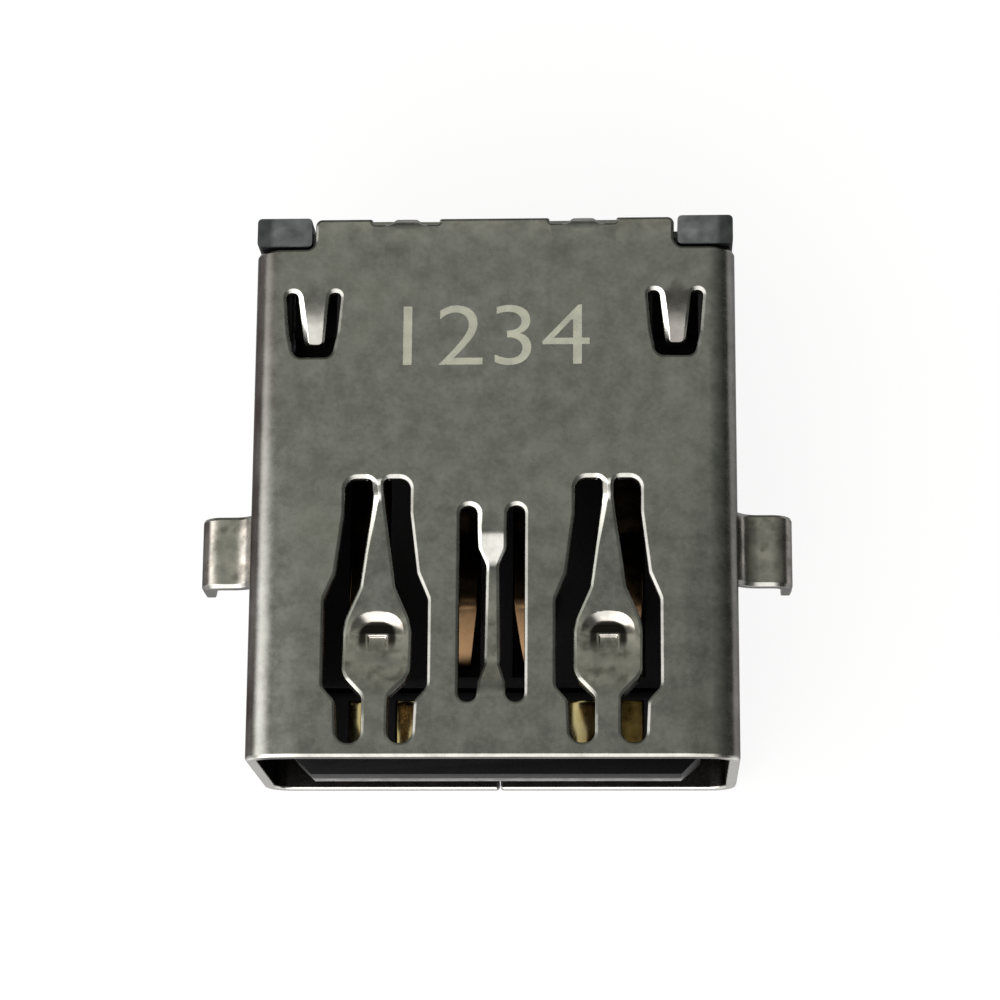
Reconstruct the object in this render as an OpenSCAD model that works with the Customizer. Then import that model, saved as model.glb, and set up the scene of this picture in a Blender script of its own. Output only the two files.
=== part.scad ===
// Board-mounted USB type A receptacle for a cut-out in the board, with five fast-lane blades
// Seen from above the mouth faces -Y, +X is to the right and the shell stands on its bottom plate
// Inside the modules Y runs back from the mouth, and seat() then centres the part on its length

/* [Shell] */
// Outside width of the folded shell
shell_w = 13.1; // [12.9:0.05:13.5]
// Outside height of the folded shell
shell_h = 5.72; // [5.6:0.02:5.9]
// Length from the mouth to the outer face of the back flap
shell_l = 15; // [14.8:0.1:16]
// Thickness of the steel sheet
sheet_t = 0.3; // [0.25:0.01:0.32]
// Inside radius of the four long folds
fold_r = 0.45; // [0.35:0.05:0.6]
// Length of the overhang above the board, behind the bottom plate
overhang_l = 3; // [2.8:0.05:3.1]
// Width of the seam gap along the bottom plate
seam_gap = 0.06; // [0.04:0.01:0.1]
// Length of the interlocking key in the seam, along the seam
seam_key_l = 1.6; // [1.2:0.1:2]

/* [Top and bottom springs] */
// Distance of each spring's axis from the middle of the shell
spring_x = 3.08; // [2.9:0.02:3.1]
// Front end of the spring openings behind the mouth
spring_front = 0.4; // [0.35:0.05:0.6]
// Rear end of the spring openings behind the mouth
spring_rear = 7.56; // [7.4:0.02:7.8]
// Width of a spring at its rear root
spring_root_w = 0.3; // [0.25:0.05:0.45]
// Width of a spring just behind its head
spring_waist_w = 0.97; // [0.8:0.05:1.1]
// Width of a spring's head
spring_head_w = 1.8; // [1.7:0.05:1.9]
// Width of a spring's front neck
spring_neck_w = 0.7; // [0.6:0.05:0.8]
// Depth of the bow of the top springs
top_bow = 0.58; // [0.45:0.02:0.64]
// Depth of the bow of the bottom springs
bottom_bow = 0.34; // [0.3:0.02:0.4]
// Depth of the contact dimple pressed into each top spring
dimple_depth = 0.2; // [0.15:0.01:0.24]

/* [Centre spring] */
// Front end of the centre opening behind the mouth
centre_front = 1.5; // [1.4:0.05:1.7]
// Rear end of the centre opening behind the mouth
centre_rear = 6.8; // [6.7:0.05:7.3]
// Width of the centre opening
centre_open_w = 1.74; // [1.6:0.02:1.8]
// Width of the centre spring at its ends
centre_end_w = 0.81; // [0.7:0.02:0.9]
// Width of the centre spring along its low stretch
centre_mid_w = 0.4; // [0.35:0.01:0.5]

/* [Retention tongues] */
// Distance of each tongue's axis from the middle of the shell
tab_x = 4.92; // [4.75:0.01:4.95]
// Distance of each tongue's root from the rear edge of the top plate
tab_inset = 2.1; // [1.9:0.05:2.2]
// Length of each tongue's opening
tab_open_l = 1.83; // [1.7:0.01:1.95]
// Width of a tongue at its root
tab_root_w = 0.84; // [0.7:0.02:0.9]
// Depth of the tip below the top plate
tab_drop = 0.55; // [0.45:0.05:0.6]

/* [Legs and board] */
// Height of the board's top face above the bottom of the shell
board_z = 3.6; // [3.5:0.05:3.7]
// Width of a solder leg
leg_w = 2; // [1.6:0.1:2.2]
// Distance of the legs' middle behind the mouth
leg_y = 5.96; // [5.7:0.05:6.2]
// Reach of a leg's outer face beyond the side wall
leg_reach = 1.52; // [1.4:0.02:1.7]
// Length of a leg below the board's top face
leg_drop = 1.4; // [1.1:0.05:1.6]

/* [Back] */
// Width of each rear corner notch, from the side wall
notch_w = 1.655; // [1.5:0.05:1.7]
// Length of each rear corner notch, from the rear edge of the top plate
notch_l = 0.82; // [0.75:0.01:0.85]
// Width of the back flap
flap_w = 9.2; // [8.6:0.1:9.4]
// Distance of the two flap straps from the middle
strap_x = 2.415; // [2.3:0.005:2.6]
// Radius of the relief notches beside the straps
relief_r = 0.28; // [0.2:0.01:0.3]

/* [Mouldings] */
// Width of the tongue
tongue_w = 11.1; // [11:0.05:11.2]
// Thickness of the tongue
tongue_t = 1.84; // [1.8:0.02:1.88]
// Height of the tongue's lower face above the bottom of the shell
tongue_z = 1.02; // [1:0.02:1.06]
// Length from the back of the plug cavity to the outer face of the back flap
block_l = 4.8; // [4.7:0.05:5]
// Side wall of the rear block beside the lower moulding
block_wall = 0.64; // [0.4:0.02:0.8]
// Set-back of the tongue's tip behind the mouth
tongue_setback = 0.02; // [0.02:0.01:0.3]
// Length of the tongue's tip that carries the blades
lip_l = 2.25; // [1.9:0.05:2.3]
// Clearance between the mouldings and the shell
shell_fit = 0.03; // [0.02:0.01:0.05]
// Clearance between the contacts and the mouldings
contact_fit = 0.02; // [0.01:0.005:0.03]

/* [Contacts] */
// Thickness of the contact strip
contact_t = 0.2; // [0.15:0.01:0.22]
// Width of a sprung contact at its arch
contact_w = 1; // [0.8:0.05:1.05]
// Width of a front blade
blade_w = 0.9; // [0.7:0.05:0.95]
// Width of all contacts in the block and at their tails
tail_w = 0.6; // [0.5:0.05:0.65]
// Height of the arch above the tongue's face
arch_rise = 0.64; // [0.5:0.02:0.8]
// Length of the tails below the board's top face
tail_drop = 1.4; // [1:0.05:1.6]

/* [Hidden] */

steel = [0.46, 0.46, 0.43];
black_plastic = [0.13, 0.13, 0.14];
gold = [0.80, 0.66, 0.33];

// Positions of the contacts across the socket
sprung_x = [-3.5, -1, 1, 3.5];
blade_x = [-3.55, -2.27, 0, 2.27, 3.55];

// Segments in each bend and rounded corner
bend_steps = 4;
// Overlap of a spring, leg or strap with the wall it grows from
lap = 0.2;
// Extra length of a cutting solid beyond the faces that it opens
over = 0.5;

// Heights of the sheet's middle plane and faces
top_mid = shell_h - sheet_t / 2;
top_under = shell_h - sheet_t;
wall_mid = shell_w / 2 - sheet_t / 2;
wall_in = shell_w / 2 - sheet_t;

// Lengths of the plates and walls behind the mouth
flap_proud = 0.1;
notch_step = 0.03;
plate_l = shell_l - flap_proud;
bottom_l = shell_l - overhang_l;
notch_x = shell_w / 2 - notch_w;
notch_y = plate_l - notch_l;
wall_l = notch_y - notch_step;
tab_rear = plate_l - tab_inset;

// Clearance of the overhang above the board
board_gap = 0.05;

// Outline stations of the main springs, behind the mouth
waist_l = 4.3;
head_rear_l = 3.45;
head_front_l = 1.9;
neck_l = 1.26;
waist_y = spring_front + waist_l;
head_rear_y = spring_front + head_rear_l;
head_front_y = spring_front + head_front_l;
neck_y = spring_front + neck_l;

// Dimple in each head, behind the middle of the head, and the slots beside the spring
dimple_back = 0.3;
dimple_y = (head_rear_y + head_front_y) / 2 + dimple_back;
dimple_r = 0.75;
head_slot = 0.48;
neck_slot = 0.64;
rear_slot = 0.73;

// Steps of a main spring's outline: straight root, eased rear and cut front corners of the head
root_straight_l = 0.4;
head_ease_w = 0.06;
head_ease_l = 0.35;
head_cut_w = 0.12;
head_cut_rear = 0.1;
head_cut_front = 0.15;

// Steps of a main spring's opening beyond the spring's own outline
open_taper_l = 1.9;
open_waist_w = 0.12;
open_waist_l = 0.25;
open_head_l = 0.4;
open_neck_w = 0.05;
open_neck_l = 0.14;
open_r = 0.3;

// Steps of a main spring's bow: where it leaves the plate, and how deep each bend lies
bow_rear_l = 0.08;
bow_ramp_l = 0.36;
bow_ramp_share = 0.72;
bow_head_share = 0.86;
bow_head_l = 0.15;
bow_front_l = 0.1;

// Steps of the centre spring from the ends of its opening
centre_straight_l = 0.75;
centre_ramp_l = 0.82;
centre_taper_l = 0.4;
centre_taper_w = 0.02;
centre_foot_l = 0.25;
centre_foot_ramp_l = 0.9;
centre_flare_l = 1.1;
centre_flare_end = 0.2;

// Slots beside a retention tongue, gap before its tip, its bend and the taper to its tip
tab_slot_rear = 0.335;
tab_slot_mid = 0.24;
tab_slot_front = 0.1;
tab_mid_l = 1.15;
tab_open_r = 0.25;
tab_tip_gap = 0.38;
tab_bend_l = 0.1;
tab_tip_in = 0.18;
tab_tip_r = 0.2;

// Bends of the springs, legs and flap, at the middle of the sheet
spring_bend_r = 0.3;
leg_root_r = 0.75;
leg_bend_r = 0.4;
strap_bend_r = 0.3;
// Relief notches: distance from the strap's axis and behind the plate, and the strap left between two
relief_x = 0.63;
relief_back = 0.13;
strap_w = 2 * (relief_x - relief_r);
// Start of a strap before the plate's rear edge, its lap on the flap, and the flap's top gap and corners
strap_start = 0.6;
strap_lap = 0.7;
flap_top_gap = 0.15;
flap_r = 0.25;

// Leg heights and plan
leg_mid_z = board_z + sheet_t / 2;
leg_out = shell_w / 2 + leg_reach;
leg_slit = 0.15;
leg_window_edge = 0.1;
leg_window_z = sheet_t + fold_r + leg_window_edge;
leg_window_top = leg_mid_z + leg_root_r + leg_window_edge;
leg_tip_cut = 0.6;

// Dovetail key of the seam: depth and flare
key_depth = 0.7;
key_flare = 0.2;

// Stations of the mouldings behind the mouth
cavity_l = shell_l - block_l;
cavity_wall = 0.8;
carrier_front = cavity_l + cavity_wall;
carrier_setback = 0.1;
carrier_rear = bottom_l - carrier_setback;
block_rear = shell_l - sheet_t - shell_fit;
rear_wall = 0.42;
chamber_rear = block_rear - rear_wall;
tongue_gap = 0.15;
crossbar_l = 0.28;
crossbar_front = lip_l + tongue_gap;
groove_front = crossbar_front + crossbar_l;
groove_play = 0.06;

// Ears in the rear notches: gaps to the plate, set-back from the outer faces, drop below the plate, corners
ear_gap = 0.05;
ear_side_gap = 0.1;
ear_inset = 0.05;
ear_drop = 0.06;
ear_r = 0.12;

// Pocket under a retention tongue: play across, depth below the tip and room behind the root
tab_pocket_play = 0.4;
tab_pocket_depth = 0.25;
tab_pocket_rear = 0.1;

// Widths of the rear block, the lower moulding in it and the chamber of the tails
block_w = 2 * (wall_in - shell_fit);
seat_w = block_w - 2 * block_wall;
carrier_w = seat_w - 2 * shell_fit;
chamber_play = 0.05;
chamber_w = carrier_w + 2 * chamber_play;

// Heights of the mouldings
tongue_top = tongue_z + tongue_t;
layer_z = tongue_z + tongue_t / 2;
layer_gap = 0.02;
roof_t = 0.3;
roof_under = top_under - shell_fit - roof_t;
spacer_t = 0.65;
spacer_top = board_z + board_gap + spacer_t;

// Centre line of a sprung contact: beam in its groove, arch above the tongue, run under the roof, tail
beam_drop = 0.36;
tip_back = 0.37;
tip_dip = 0.25;
tip_in = 0.22;
apex_back = 2.37;
arch_rear_l = 2.13;
beam_join = [0.6, 2];
run_gap = 0.05;
riser_back = 0.4;
tail_inset = 0.35;
beam_z = tongue_top - beam_drop;
apex_y = lip_l + apex_back;
sprung_run_z = roof_under - run_gap - contact_t / 2;
sprung_riser_y = cavity_l + riser_back;
sprung_tail_y = chamber_rear - tail_inset;

// Centre line of a blade: face on the lip, drop behind it, run along the carrier, rise over the spacer, tail
blade_proud = 0.02;
blade_run_up = 0.48;
blade_drop_in = 0.12;
blade_over_gap = 0.4;
tail_row_gap = 1;
blade_tip_back = 0.36;
blade_tip_l = 0.24;
blade_tip_dip = 0.34;
blade_join = [0.5, 0.7];
blade_z = tongue_top + blade_proud - contact_t / 2;
blade_run_z = tongue_z + blade_run_up;
blade_drop_y = lip_l - blade_drop_in;
blade_riser_y = (carrier_front + carrier_rear) / 2;
blade_over_z = sprung_run_z - blade_over_gap;
blade_tail_y = sprung_tail_y - tail_row_gap;
contact_bend_r = 0.25;
tail_end_z = board_z - tail_drop;

// Unit vector along v
function unit(v) = v / norm(v);

// Vector v turned by angle a
function turned(v, a) = [v.x * cos(a) - v.y * sin(a), v.x * sin(a) + v.y * cos(a)];

// Signed angle between the legs a-p and p-b of a path
function turn_at(a, p, b) = atan2(cross(unit(p - a), unit(b - p)), unit(p - a) * unit(b - p));

// Points and left normals along the arc of radius r that rounds the corner p between a and b
function corner(a, p, b, r) =
    let (
        angle = turn_at(a, p, b),
        ahead = unit(p - a),
        left = turned(ahead, 90),
        hub = p - ahead * r * tan(abs(angle) / 2) + left * r * sign(angle)
    )
    [for (i = [0 : bend_steps])
        let (normal = turned(left, angle * i / bend_steps))
        [hub - normal * r * sign(angle), normal]];

// Closed outline with every corner rounded to r, or to what its edges leave room for
function rounded(points, r) =
    let (n = len(points))
    [for (k = [0 : n - 1])
        let (
            a = points[(k + n - 1) % n],
            p = points[k],
            b = points[(k + 1) % n],
            room = 0.45 * min(norm(p - a), norm(b - p)) / tan(abs(turn_at(a, p, b)) / 2)
        )
        for (frame = corner(a, p, b, min(r, room))) frame[0]];

// Outline of a sheet of thickness t whose middle line follows a path; r is one bend radius or a list of them
function sheet_outline(path, r, t) =
    let (
        last = len(path) - 1,
        frames = [
            [path[0], turned(unit(path[1] - path[0]), 90)],
            for (k = [1 : last - 1])
                each corner(path[k - 1], path[k], path[k + 1], is_list(r) ? r[k - 1] : r),
            [path[last], turned(unit(path[last] - path[last - 1]), 90)]
        ]
    )
    concat(
        [for (f = frames) f[0] + f[1] * t / 2],
        [for (k = [len(frames) - 1 : -1 : 0]) frames[k][0] - frames[k][1] * t / 2]
    );

// Outline symmetric about x = 0 from [half width, y] stations
function mirrored(stations) = concat(
    stations,
    [for (k = [len(stations) - 1 : -1 : 0]) [-stations[k][0], stations[k][1]]]
);

// Puts the middle of the part's length at the origin
module seat() {
    translate([0, -shell_l / 2, 0]) children();
}

// Copies on both sides of the middle plane
module both_sides() {
    children();
    mirror([1, 0, 0]) children();
}

// Profile in Y and Z carried along X, centred
module along_x(width) {
    rotate([90, 0, 90]) linear_extrude(width, center = true) children();
}

// Profile in X and Z carried along Y between two stations
module along_y(from, to) {
    translate([0, to, 0]) rotate([90, 0, 0]) linear_extrude(to - from) children();
}

// Outline in X and Y carried up between two heights
module upright(from, to) {
    translate([0, 0, from]) linear_extrude(to - from) children();
}

// Box between two corners
module box(low, high) {
    translate(low) cube(high - low);
}

// Rounded rectangle that stands on z = bottom
module rounded_section(width, height, r, bottom) {
    translate([0, bottom]) {
        translate([-width / 2, r]) square([width, height - 2 * r]);
        translate([-width / 2 + r, 0]) square([width - 2 * r, height]);
        for (x = [-1, 1], z = [r, height - r])
            translate([x * (width / 2 - r), z]) circle(r, $fn = 48);
    }
}

// Opening around a main spring
module spring_opening() {
    polygon(rounded(mirrored([
        [spring_root_w / 2 + rear_slot, spring_rear],
        [spring_root_w / 2 + rear_slot, waist_y + open_taper_l],
        [spring_waist_w / 2 + head_slot + open_waist_w, waist_y + open_waist_l],
        [spring_head_w / 2 + head_slot, head_rear_y + open_head_l],
        [spring_head_w / 2 + head_slot, head_front_y - open_head_l],
        [spring_neck_w / 2 + neck_slot + open_neck_w, neck_y - open_neck_l],
        [spring_neck_w / 2 + neck_slot, spring_front]
    ]), open_r));
}

// Outline of a main spring, lapped onto the plate at both ends
module spring_blank() {
    polygon(mirrored([
        [spring_root_w / 2, spring_rear + lap],
        [spring_root_w / 2, spring_rear - root_straight_l],
        [spring_waist_w / 2, waist_y],
        [spring_head_w / 2 - head_ease_w, head_rear_y],
        [spring_head_w / 2, head_rear_y - head_ease_l],
        [spring_head_w / 2, head_front_y + head_cut_rear],
        [spring_head_w / 2 - head_cut_w, head_front_y - head_cut_front],
        [spring_neck_w / 2, neck_y],
        [spring_neck_w / 2, spring_front - lap]
    ]));
}

// Main spring of the top plate, bowed inwards, on the middle plane
module main_spring(bow, dimple) {
    path = [
        [spring_rear + lap, top_mid],
        [spring_rear - bow_rear_l, top_mid],
        [spring_rear - bow_rear_l - bow_ramp_l, top_mid - bow_ramp_share * bow],
        [head_rear_y, top_mid - bow],
        [head_front_y + bow_head_l, top_mid - bow_head_share * bow],
        [neck_y - bow_front_l, top_mid],
        [spring_front - lap, top_mid]
    ];
    face_z = top_mid + sheet_t / 2 - bow;
    hub = [0, dimple_y, face_z + dimple_r - dimple];
    difference() {
        union() {
            intersection() {
                along_x(spring_head_w + over) polygon(sheet_outline(path, spring_bend_r, sheet_t));
                upright(0, shell_h) spring_blank();
            }
            if (dimple > 0)
                intersection() {
                    translate(hub) sphere(dimple_r + sheet_t, $fn = 48);
                    box([-dimple_r, head_front_y, 0], [dimple_r, head_rear_y + over, face_z - sheet_t / 2]);
                }
        }
        if (dimple > 0)
            translate(hub) sphere(dimple_r, $fn = 48);
    }
}

// Centre spring of the top plate
module centre_spring() {
    ramp_top = centre_rear - centre_straight_l;
    ramp_foot = ramp_top - centre_ramp_l;
    low_mid = top_mid - bow_ramp_share * top_bow;
    path = [
        [centre_rear + lap, top_mid],
        [ramp_top, top_mid],
        [ramp_foot, low_mid],
        [centre_front + centre_foot_l + centre_foot_ramp_l, low_mid],
        [centre_front + centre_foot_l, top_mid],
        [centre_front - lap, top_mid]
    ];
    intersection() {
        along_x(2 * centre_end_w) polygon(sheet_outline(path, spring_bend_r, sheet_t));
        upright(0, shell_h) polygon(mirrored([
            [centre_end_w / 2, centre_rear + lap],
            [centre_end_w / 2 - centre_taper_w, ramp_top - centre_taper_l],
            [centre_mid_w / 2 - centre_taper_w, ramp_foot],
            [centre_mid_w / 2 + centre_taper_w, centre_front + centre_flare_l],
            [centre_end_w / 2, centre_front + centre_flare_end],
            [centre_end_w / 2, centre_front - lap]
        ]));
    }
}

// Opening around a retention tongue
module tab_opening() {
    front = tab_rear - tab_open_l;
    polygon(rounded(mirrored([
        [tab_root_w / 2 + tab_slot_rear, tab_rear],
        [tab_root_w / 2 + tab_slot_mid, tab_rear - tab_mid_l],
        [tab_root_w / 2 + tab_slot_front, front]
    ]), tab_open_r));
}

// Retention tongue, bent down towards its tip
module retention_tab() {
    tip = tab_rear - tab_open_l + tab_tip_gap;
    path = [[tab_rear + lap, top_mid], [tab_rear - tab_bend_l, top_mid], [tip, top_mid - tab_drop]];
    intersection() {
        along_x(2 * tab_root_w) polygon(sheet_outline(path, spring_bend_r, sheet_t));
        upright(0, shell_h) polygon(rounded(mirrored([
            [tab_root_w / 2, tab_rear + lap],
            [tab_root_w / 2 - tab_tip_in, tip]
        ]), tab_tip_r));
    }
}

// Solder leg on the right: down the wall, out over the board, down through it
module leg() {
    path = [
        [wall_mid, leg_window_top + lap],
        [wall_mid, leg_mid_z],
        [leg_out - sheet_t / 2, leg_mid_z],
        [leg_out - sheet_t / 2, board_z - leg_drop]
    ];
    difference() {
        along_y(leg_y - leg_w / 2, leg_y + leg_w / 2)
            polygon(sheet_outline(path, [leg_root_r, leg_bend_r], sheet_t));
        for (side = [-1, 1])
            translate([leg_out, leg_y + side * leg_w / 2, board_z - leg_drop])
                rotate([45, 0, 0]) cube([2 * leg_reach, leg_tip_cut, leg_tip_cut], center = true);
    }
}

// Seam gap along the bottom plate, with one dovetail key
module seam() {
    key_y = bottom_l / 2;
    neck = seam_key_l / 2 - key_flare;
    head = seam_key_l / 2;
    g = seam_gap / 2;
    polygon([
        [-g, -over], [-g, key_y - neck - g], [-key_depth - g, key_y - head - g],
        [-key_depth - g, key_y + head + g], [-g, key_y + neck + g], [-g, bottom_l + over],
        [g, bottom_l + over], [g, key_y + neck - g], [g - key_depth, key_y + head - g],
        [g - key_depth, key_y - head + g], [g, key_y - neck + g], [g, -over]
    ]);
}

// Tube of the folded sheet, cut to the board's edge, with the rear of the top plate
module folded_tube() {
    difference() {
        union() {
            along_y(0, wall_l) difference() {
                rounded_section(shell_w, shell_h, fold_r + sheet_t, 0);
                rounded_section(2 * wall_in, shell_h - 2 * sheet_t, fold_r, sheet_t);
            }
            box([-notch_x, wall_l - lap, top_under], [notch_x, plate_l, shell_h]);
        }
        box([-shell_w, bottom_l, -over], [shell_w, shell_l, board_z + board_gap]);
        upright(-over, sheet_t + over) seam();
    }
}

// Back flap with its two straps
module back_flap() {
    strap_path = [
        [plate_l - strap_start, top_mid],
        [shell_l - sheet_t / 2, top_mid],
        [shell_l - sheet_t / 2, top_under - strap_lap]
    ];
    for (x = [-strap_x, strap_x])
        translate([x, 0, 0]) along_x(strap_w) polygon(sheet_outline(strap_path, strap_bend_r, sheet_t));
    low = board_z + 2 * board_gap;
    high = top_under - flap_top_gap;
    along_y(shell_l - sheet_t, shell_l) polygon(rounded([
        [-flap_w / 2, low], [flap_w / 2, low], [flap_w / 2, high], [-flap_w / 2, high]
    ], flap_r));
}

module shell() {
    color(steel) seat() {
        difference() {
            folded_tube();
            upright(shell_h / 2, shell_h + over) {
                both_sides() {
                    translate([spring_x, 0]) spring_opening();
                    translate([tab_x, 0]) tab_opening();
                }
                polygon(rounded(mirrored([
                    [centre_open_w / 2, centre_rear],
                    [centre_open_w / 2, centre_front]
                ]), open_r));
            }
            upright(-over, sheet_t + over) both_sides() translate([spring_x, 0]) spring_opening();
            for (x = [-1, 1], edge = [-1, 1])
                translate([x * (strap_x + edge * relief_x), plate_l + relief_back, top_under - over])
                    cylinder(r = relief_r, h = sheet_t + 2 * over, $fn = 32);
            both_sides()
                box(
                    [wall_in - over, leg_y - leg_w / 2 - leg_slit, leg_window_z],
                    [shell_w / 2 + over, leg_y + leg_w / 2 + leg_slit, leg_window_top]
                );
        }
        both_sides() {
            translate([spring_x, 0, 0]) main_spring(top_bow, dimple_depth);
            translate([spring_x, 0, shell_h]) mirror([0, 0, 1]) main_spring(bottom_bow, 0);
            translate([tab_x, 0, 0]) retention_tab();
            leg();
        }
        centre_spring();
        back_flap();
    }
}

// Path of a sprung contact from its tip to the block, in Y and Z
function sprung_front_path() = [
    [groove_front + tip_back, beam_z - tip_dip],
    [apex_y, tongue_top + arch_rise - contact_t / 2],
    [apex_y + arch_rear_l, beam_z],
    [sprung_riser_y - beam_join[0], beam_z]
];

// Path of a sprung contact through the block to its tail
function sprung_rear_path() = [
    [sprung_riser_y - beam_join[1], beam_z],
    [sprung_riser_y, beam_z],
    [sprung_riser_y, sprung_run_z],
    [sprung_tail_y, sprung_run_z],
    [sprung_tail_y, tail_end_z]
];

// Path of a blade from its tip over the lip and down
function blade_front_path() = [
    [tongue_setback + blade_tip_back, blade_z - blade_tip_dip],
    [tongue_setback + blade_tip_back + blade_tip_l, blade_z],
    [blade_drop_y, blade_z],
    [blade_drop_y, blade_run_z + blade_join[0]]
];

// Path of a blade along the carrier to its tail
function blade_rear_path() = [
    [blade_drop_y, blade_run_z + blade_join[1]],
    [blade_drop_y, blade_run_z],
    [blade_riser_y, blade_run_z],
    [blade_riser_y, blade_over_z],
    [blade_tail_y, blade_over_z],
    [blade_tail_y, tail_end_z]
];

// Sprung contact on the middle plane, with room all round for its channel
module sprung_shape(room) {
    along_x(tail_w + 2 * room)
        polygon(sheet_outline(sprung_rear_path(), contact_bend_r, contact_t + 2 * room));
    intersection() {
        along_x(contact_w + 2 * room)
            polygon(sheet_outline(sprung_front_path(), contact_bend_r, contact_t + 2 * room));
        upright(0, shell_h) polygon(mirrored([
            [contact_w / 2 + room, sprung_riser_y],
            [contact_w / 2 + room, apex_y],
            [contact_w / 2 - tip_in + room, groove_front + tip_back]
        ]));
    }
}

// Blade on the middle plane, with room all round for its channel
module blade_shape(room) {
    along_x(tail_w + 2 * room)
        polygon(sheet_outline(blade_rear_path(), contact_bend_r, contact_t + 2 * room));
    along_x(blade_w + 2 * room)
        polygon(sheet_outline(blade_front_path(), contact_bend_r, contact_t + 2 * room));
}

module sprung_contact(index) {
    color(gold) seat() translate([sprung_x[index], 0, 0]) sprung_shape(0);
}

module blade(index) {
    color(gold) seat() translate([blade_x[index], 0, 0]) blade_shape(0);
}

// Plan of the tongue, with its tip corners cut at 45 degrees
module tongue_plan(from, to) {
    tip_cut = 0.53;
    intersection() {
        translate([-tongue_w / 2, from]) square([tongue_w, to - from]);
        polygon(mirrored([
            [tongue_w / 2, to],
            [tongue_w / 2, tongue_setback + tip_cut],
            [tongue_w / 2 - tip_cut, tongue_setback]
        ]));
    }
}

// Rear block inside the shell, cut up to the board behind the bottom plate
module block() {
    difference() {
        along_y(cavity_l, block_rear) rounded_section(
            block_w,
            shell_h - 2 * (sheet_t + shell_fit),
            fold_r - shell_fit,
            sheet_t + shell_fit
        );
        box([-shell_w, carrier_rear, 0], [shell_w, shell_l, board_z + board_gap]);
        // Bevel that clears the bends of the flap straps
        along_x(shell_w) polygon([
            [block_rear - strap_bend_r, top_under],
            [block_rear + over, top_under],
            [block_rear + over, top_under - strap_bend_r],
            [block_rear, top_under - strap_bend_r]
        ]);
    }
}

// Corner block that fills a rear notch of the top plate
module ear() {
    left = notch_x + ear_side_gap;
    right = shell_w / 2 - ear_inset;
    front = notch_y + ear_gap;
    rear = shell_l - ear_inset;
    upright(board_z + board_gap, shell_h - ear_drop)
        polygon(rounded([[left, front], [right, front], [right, rear], [left, rear]], ear_r));
}

module housing() {
    tab_pocket_w = tab_root_w + tab_pocket_play;
    color(black_plastic) seat() difference() {
        union() {
            block();
            both_sides() ear();
            upright(layer_z + layer_gap, tongue_top) tongue_plan(crossbar_front, cavity_l + over);
        }
        // Chamber of the tails, open towards the board
        box(
            [-chamber_w / 2, carrier_front, board_z - over],
            [chamber_w / 2, chamber_rear, roof_under]
        );
        // Seat of the lower moulding
        box(
            [-seat_w / 2, cavity_l - over, tongue_z - shell_fit],
            [seat_w / 2, shell_l, layer_z + layer_gap]
        );
        box(
            [-seat_w / 2, carrier_front - shell_fit, tongue_z - shell_fit],
            [seat_w / 2, carrier_rear + over, roof_under - over]
        );
        for (x = sprung_x) {
            translate([x, 0, 0]) sprung_shape(contact_fit);
            box(
                [x - contact_w / 2 - groove_play, groove_front, layer_z - over],
                [x + contact_w / 2 + groove_play, cavity_l, tongue_top + over]
            );
        }
        both_sides()
            box(
                [tab_x - tab_pocket_w / 2, tab_rear - tab_open_l, top_under - tab_drop - tab_pocket_depth],
                [tab_x + tab_pocket_w / 2, tab_rear + tab_pocket_rear, shell_h]
            );
    }
}

module fast_carrier() {
    tip_bevel = 0.62;
    color(black_plastic) seat() difference() {
        union() {
            upright(tongue_z, layer_z) tongue_plan(tongue_setback, cavity_l);
            upright(tongue_z, tongue_top) tongue_plan(tongue_setback, lip_l);
            box([-carrier_w / 2, cavity_l, tongue_z], [carrier_w / 2, carrier_rear, layer_z]);
            box(
                [-carrier_w / 2, carrier_front, tongue_z],
                [carrier_w / 2, carrier_rear, spacer_top - layer_gap]
            );
        }
        // Bevel under the tip
        along_x(tongue_w + over) polygon([
            [tongue_setback - over, tongue_z - over],
            [tongue_setback - over, tongue_z + tip_bevel],
            [tongue_setback, tongue_z + tip_bevel],
            [tongue_setback + tip_bevel, tongue_z],
            [tongue_setback + tip_bevel, tongue_z - over]
        ]);
        for (x = blade_x)
            translate([x, 0, 0]) blade_shape(contact_fit);
    }
}

module tail_spacer() {
    color(black_plastic) seat() difference() {
        box(
            [-chamber_w / 2 + shell_fit, carrier_rear + shell_fit, board_z + board_gap],
            [chamber_w / 2 - shell_fit, chamber_rear - shell_fit, spacer_top]
        );
        for (x = sprung_x)
            translate([x, 0, 0]) sprung_shape(contact_fit);
        for (x = blade_x)
            translate([x, 0, 0]) blade_shape(contact_fit);
    }
}

shell();
housing();
fast_carrier();
tail_spacer();
sprung_contact(0);  // contact_power
sprung_contact(1);  // contact_data_minus
sprung_contact(2);  // contact_data_plus
sprung_contact(3);  // contact_ground
blade(0);  // blade_1
blade(1);  // blade_2
blade(2);  // blade_3
blade(3);  // blade_4
blade(4);  // blade_5
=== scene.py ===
"""Looks of a board-mounted USB type A receptacle: folded steel shell, black mouldings, gold contacts.

Lengths are millimetres. Y runs back from the mouth, Z up from the underside of the bottom plate.
"""

import math

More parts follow.
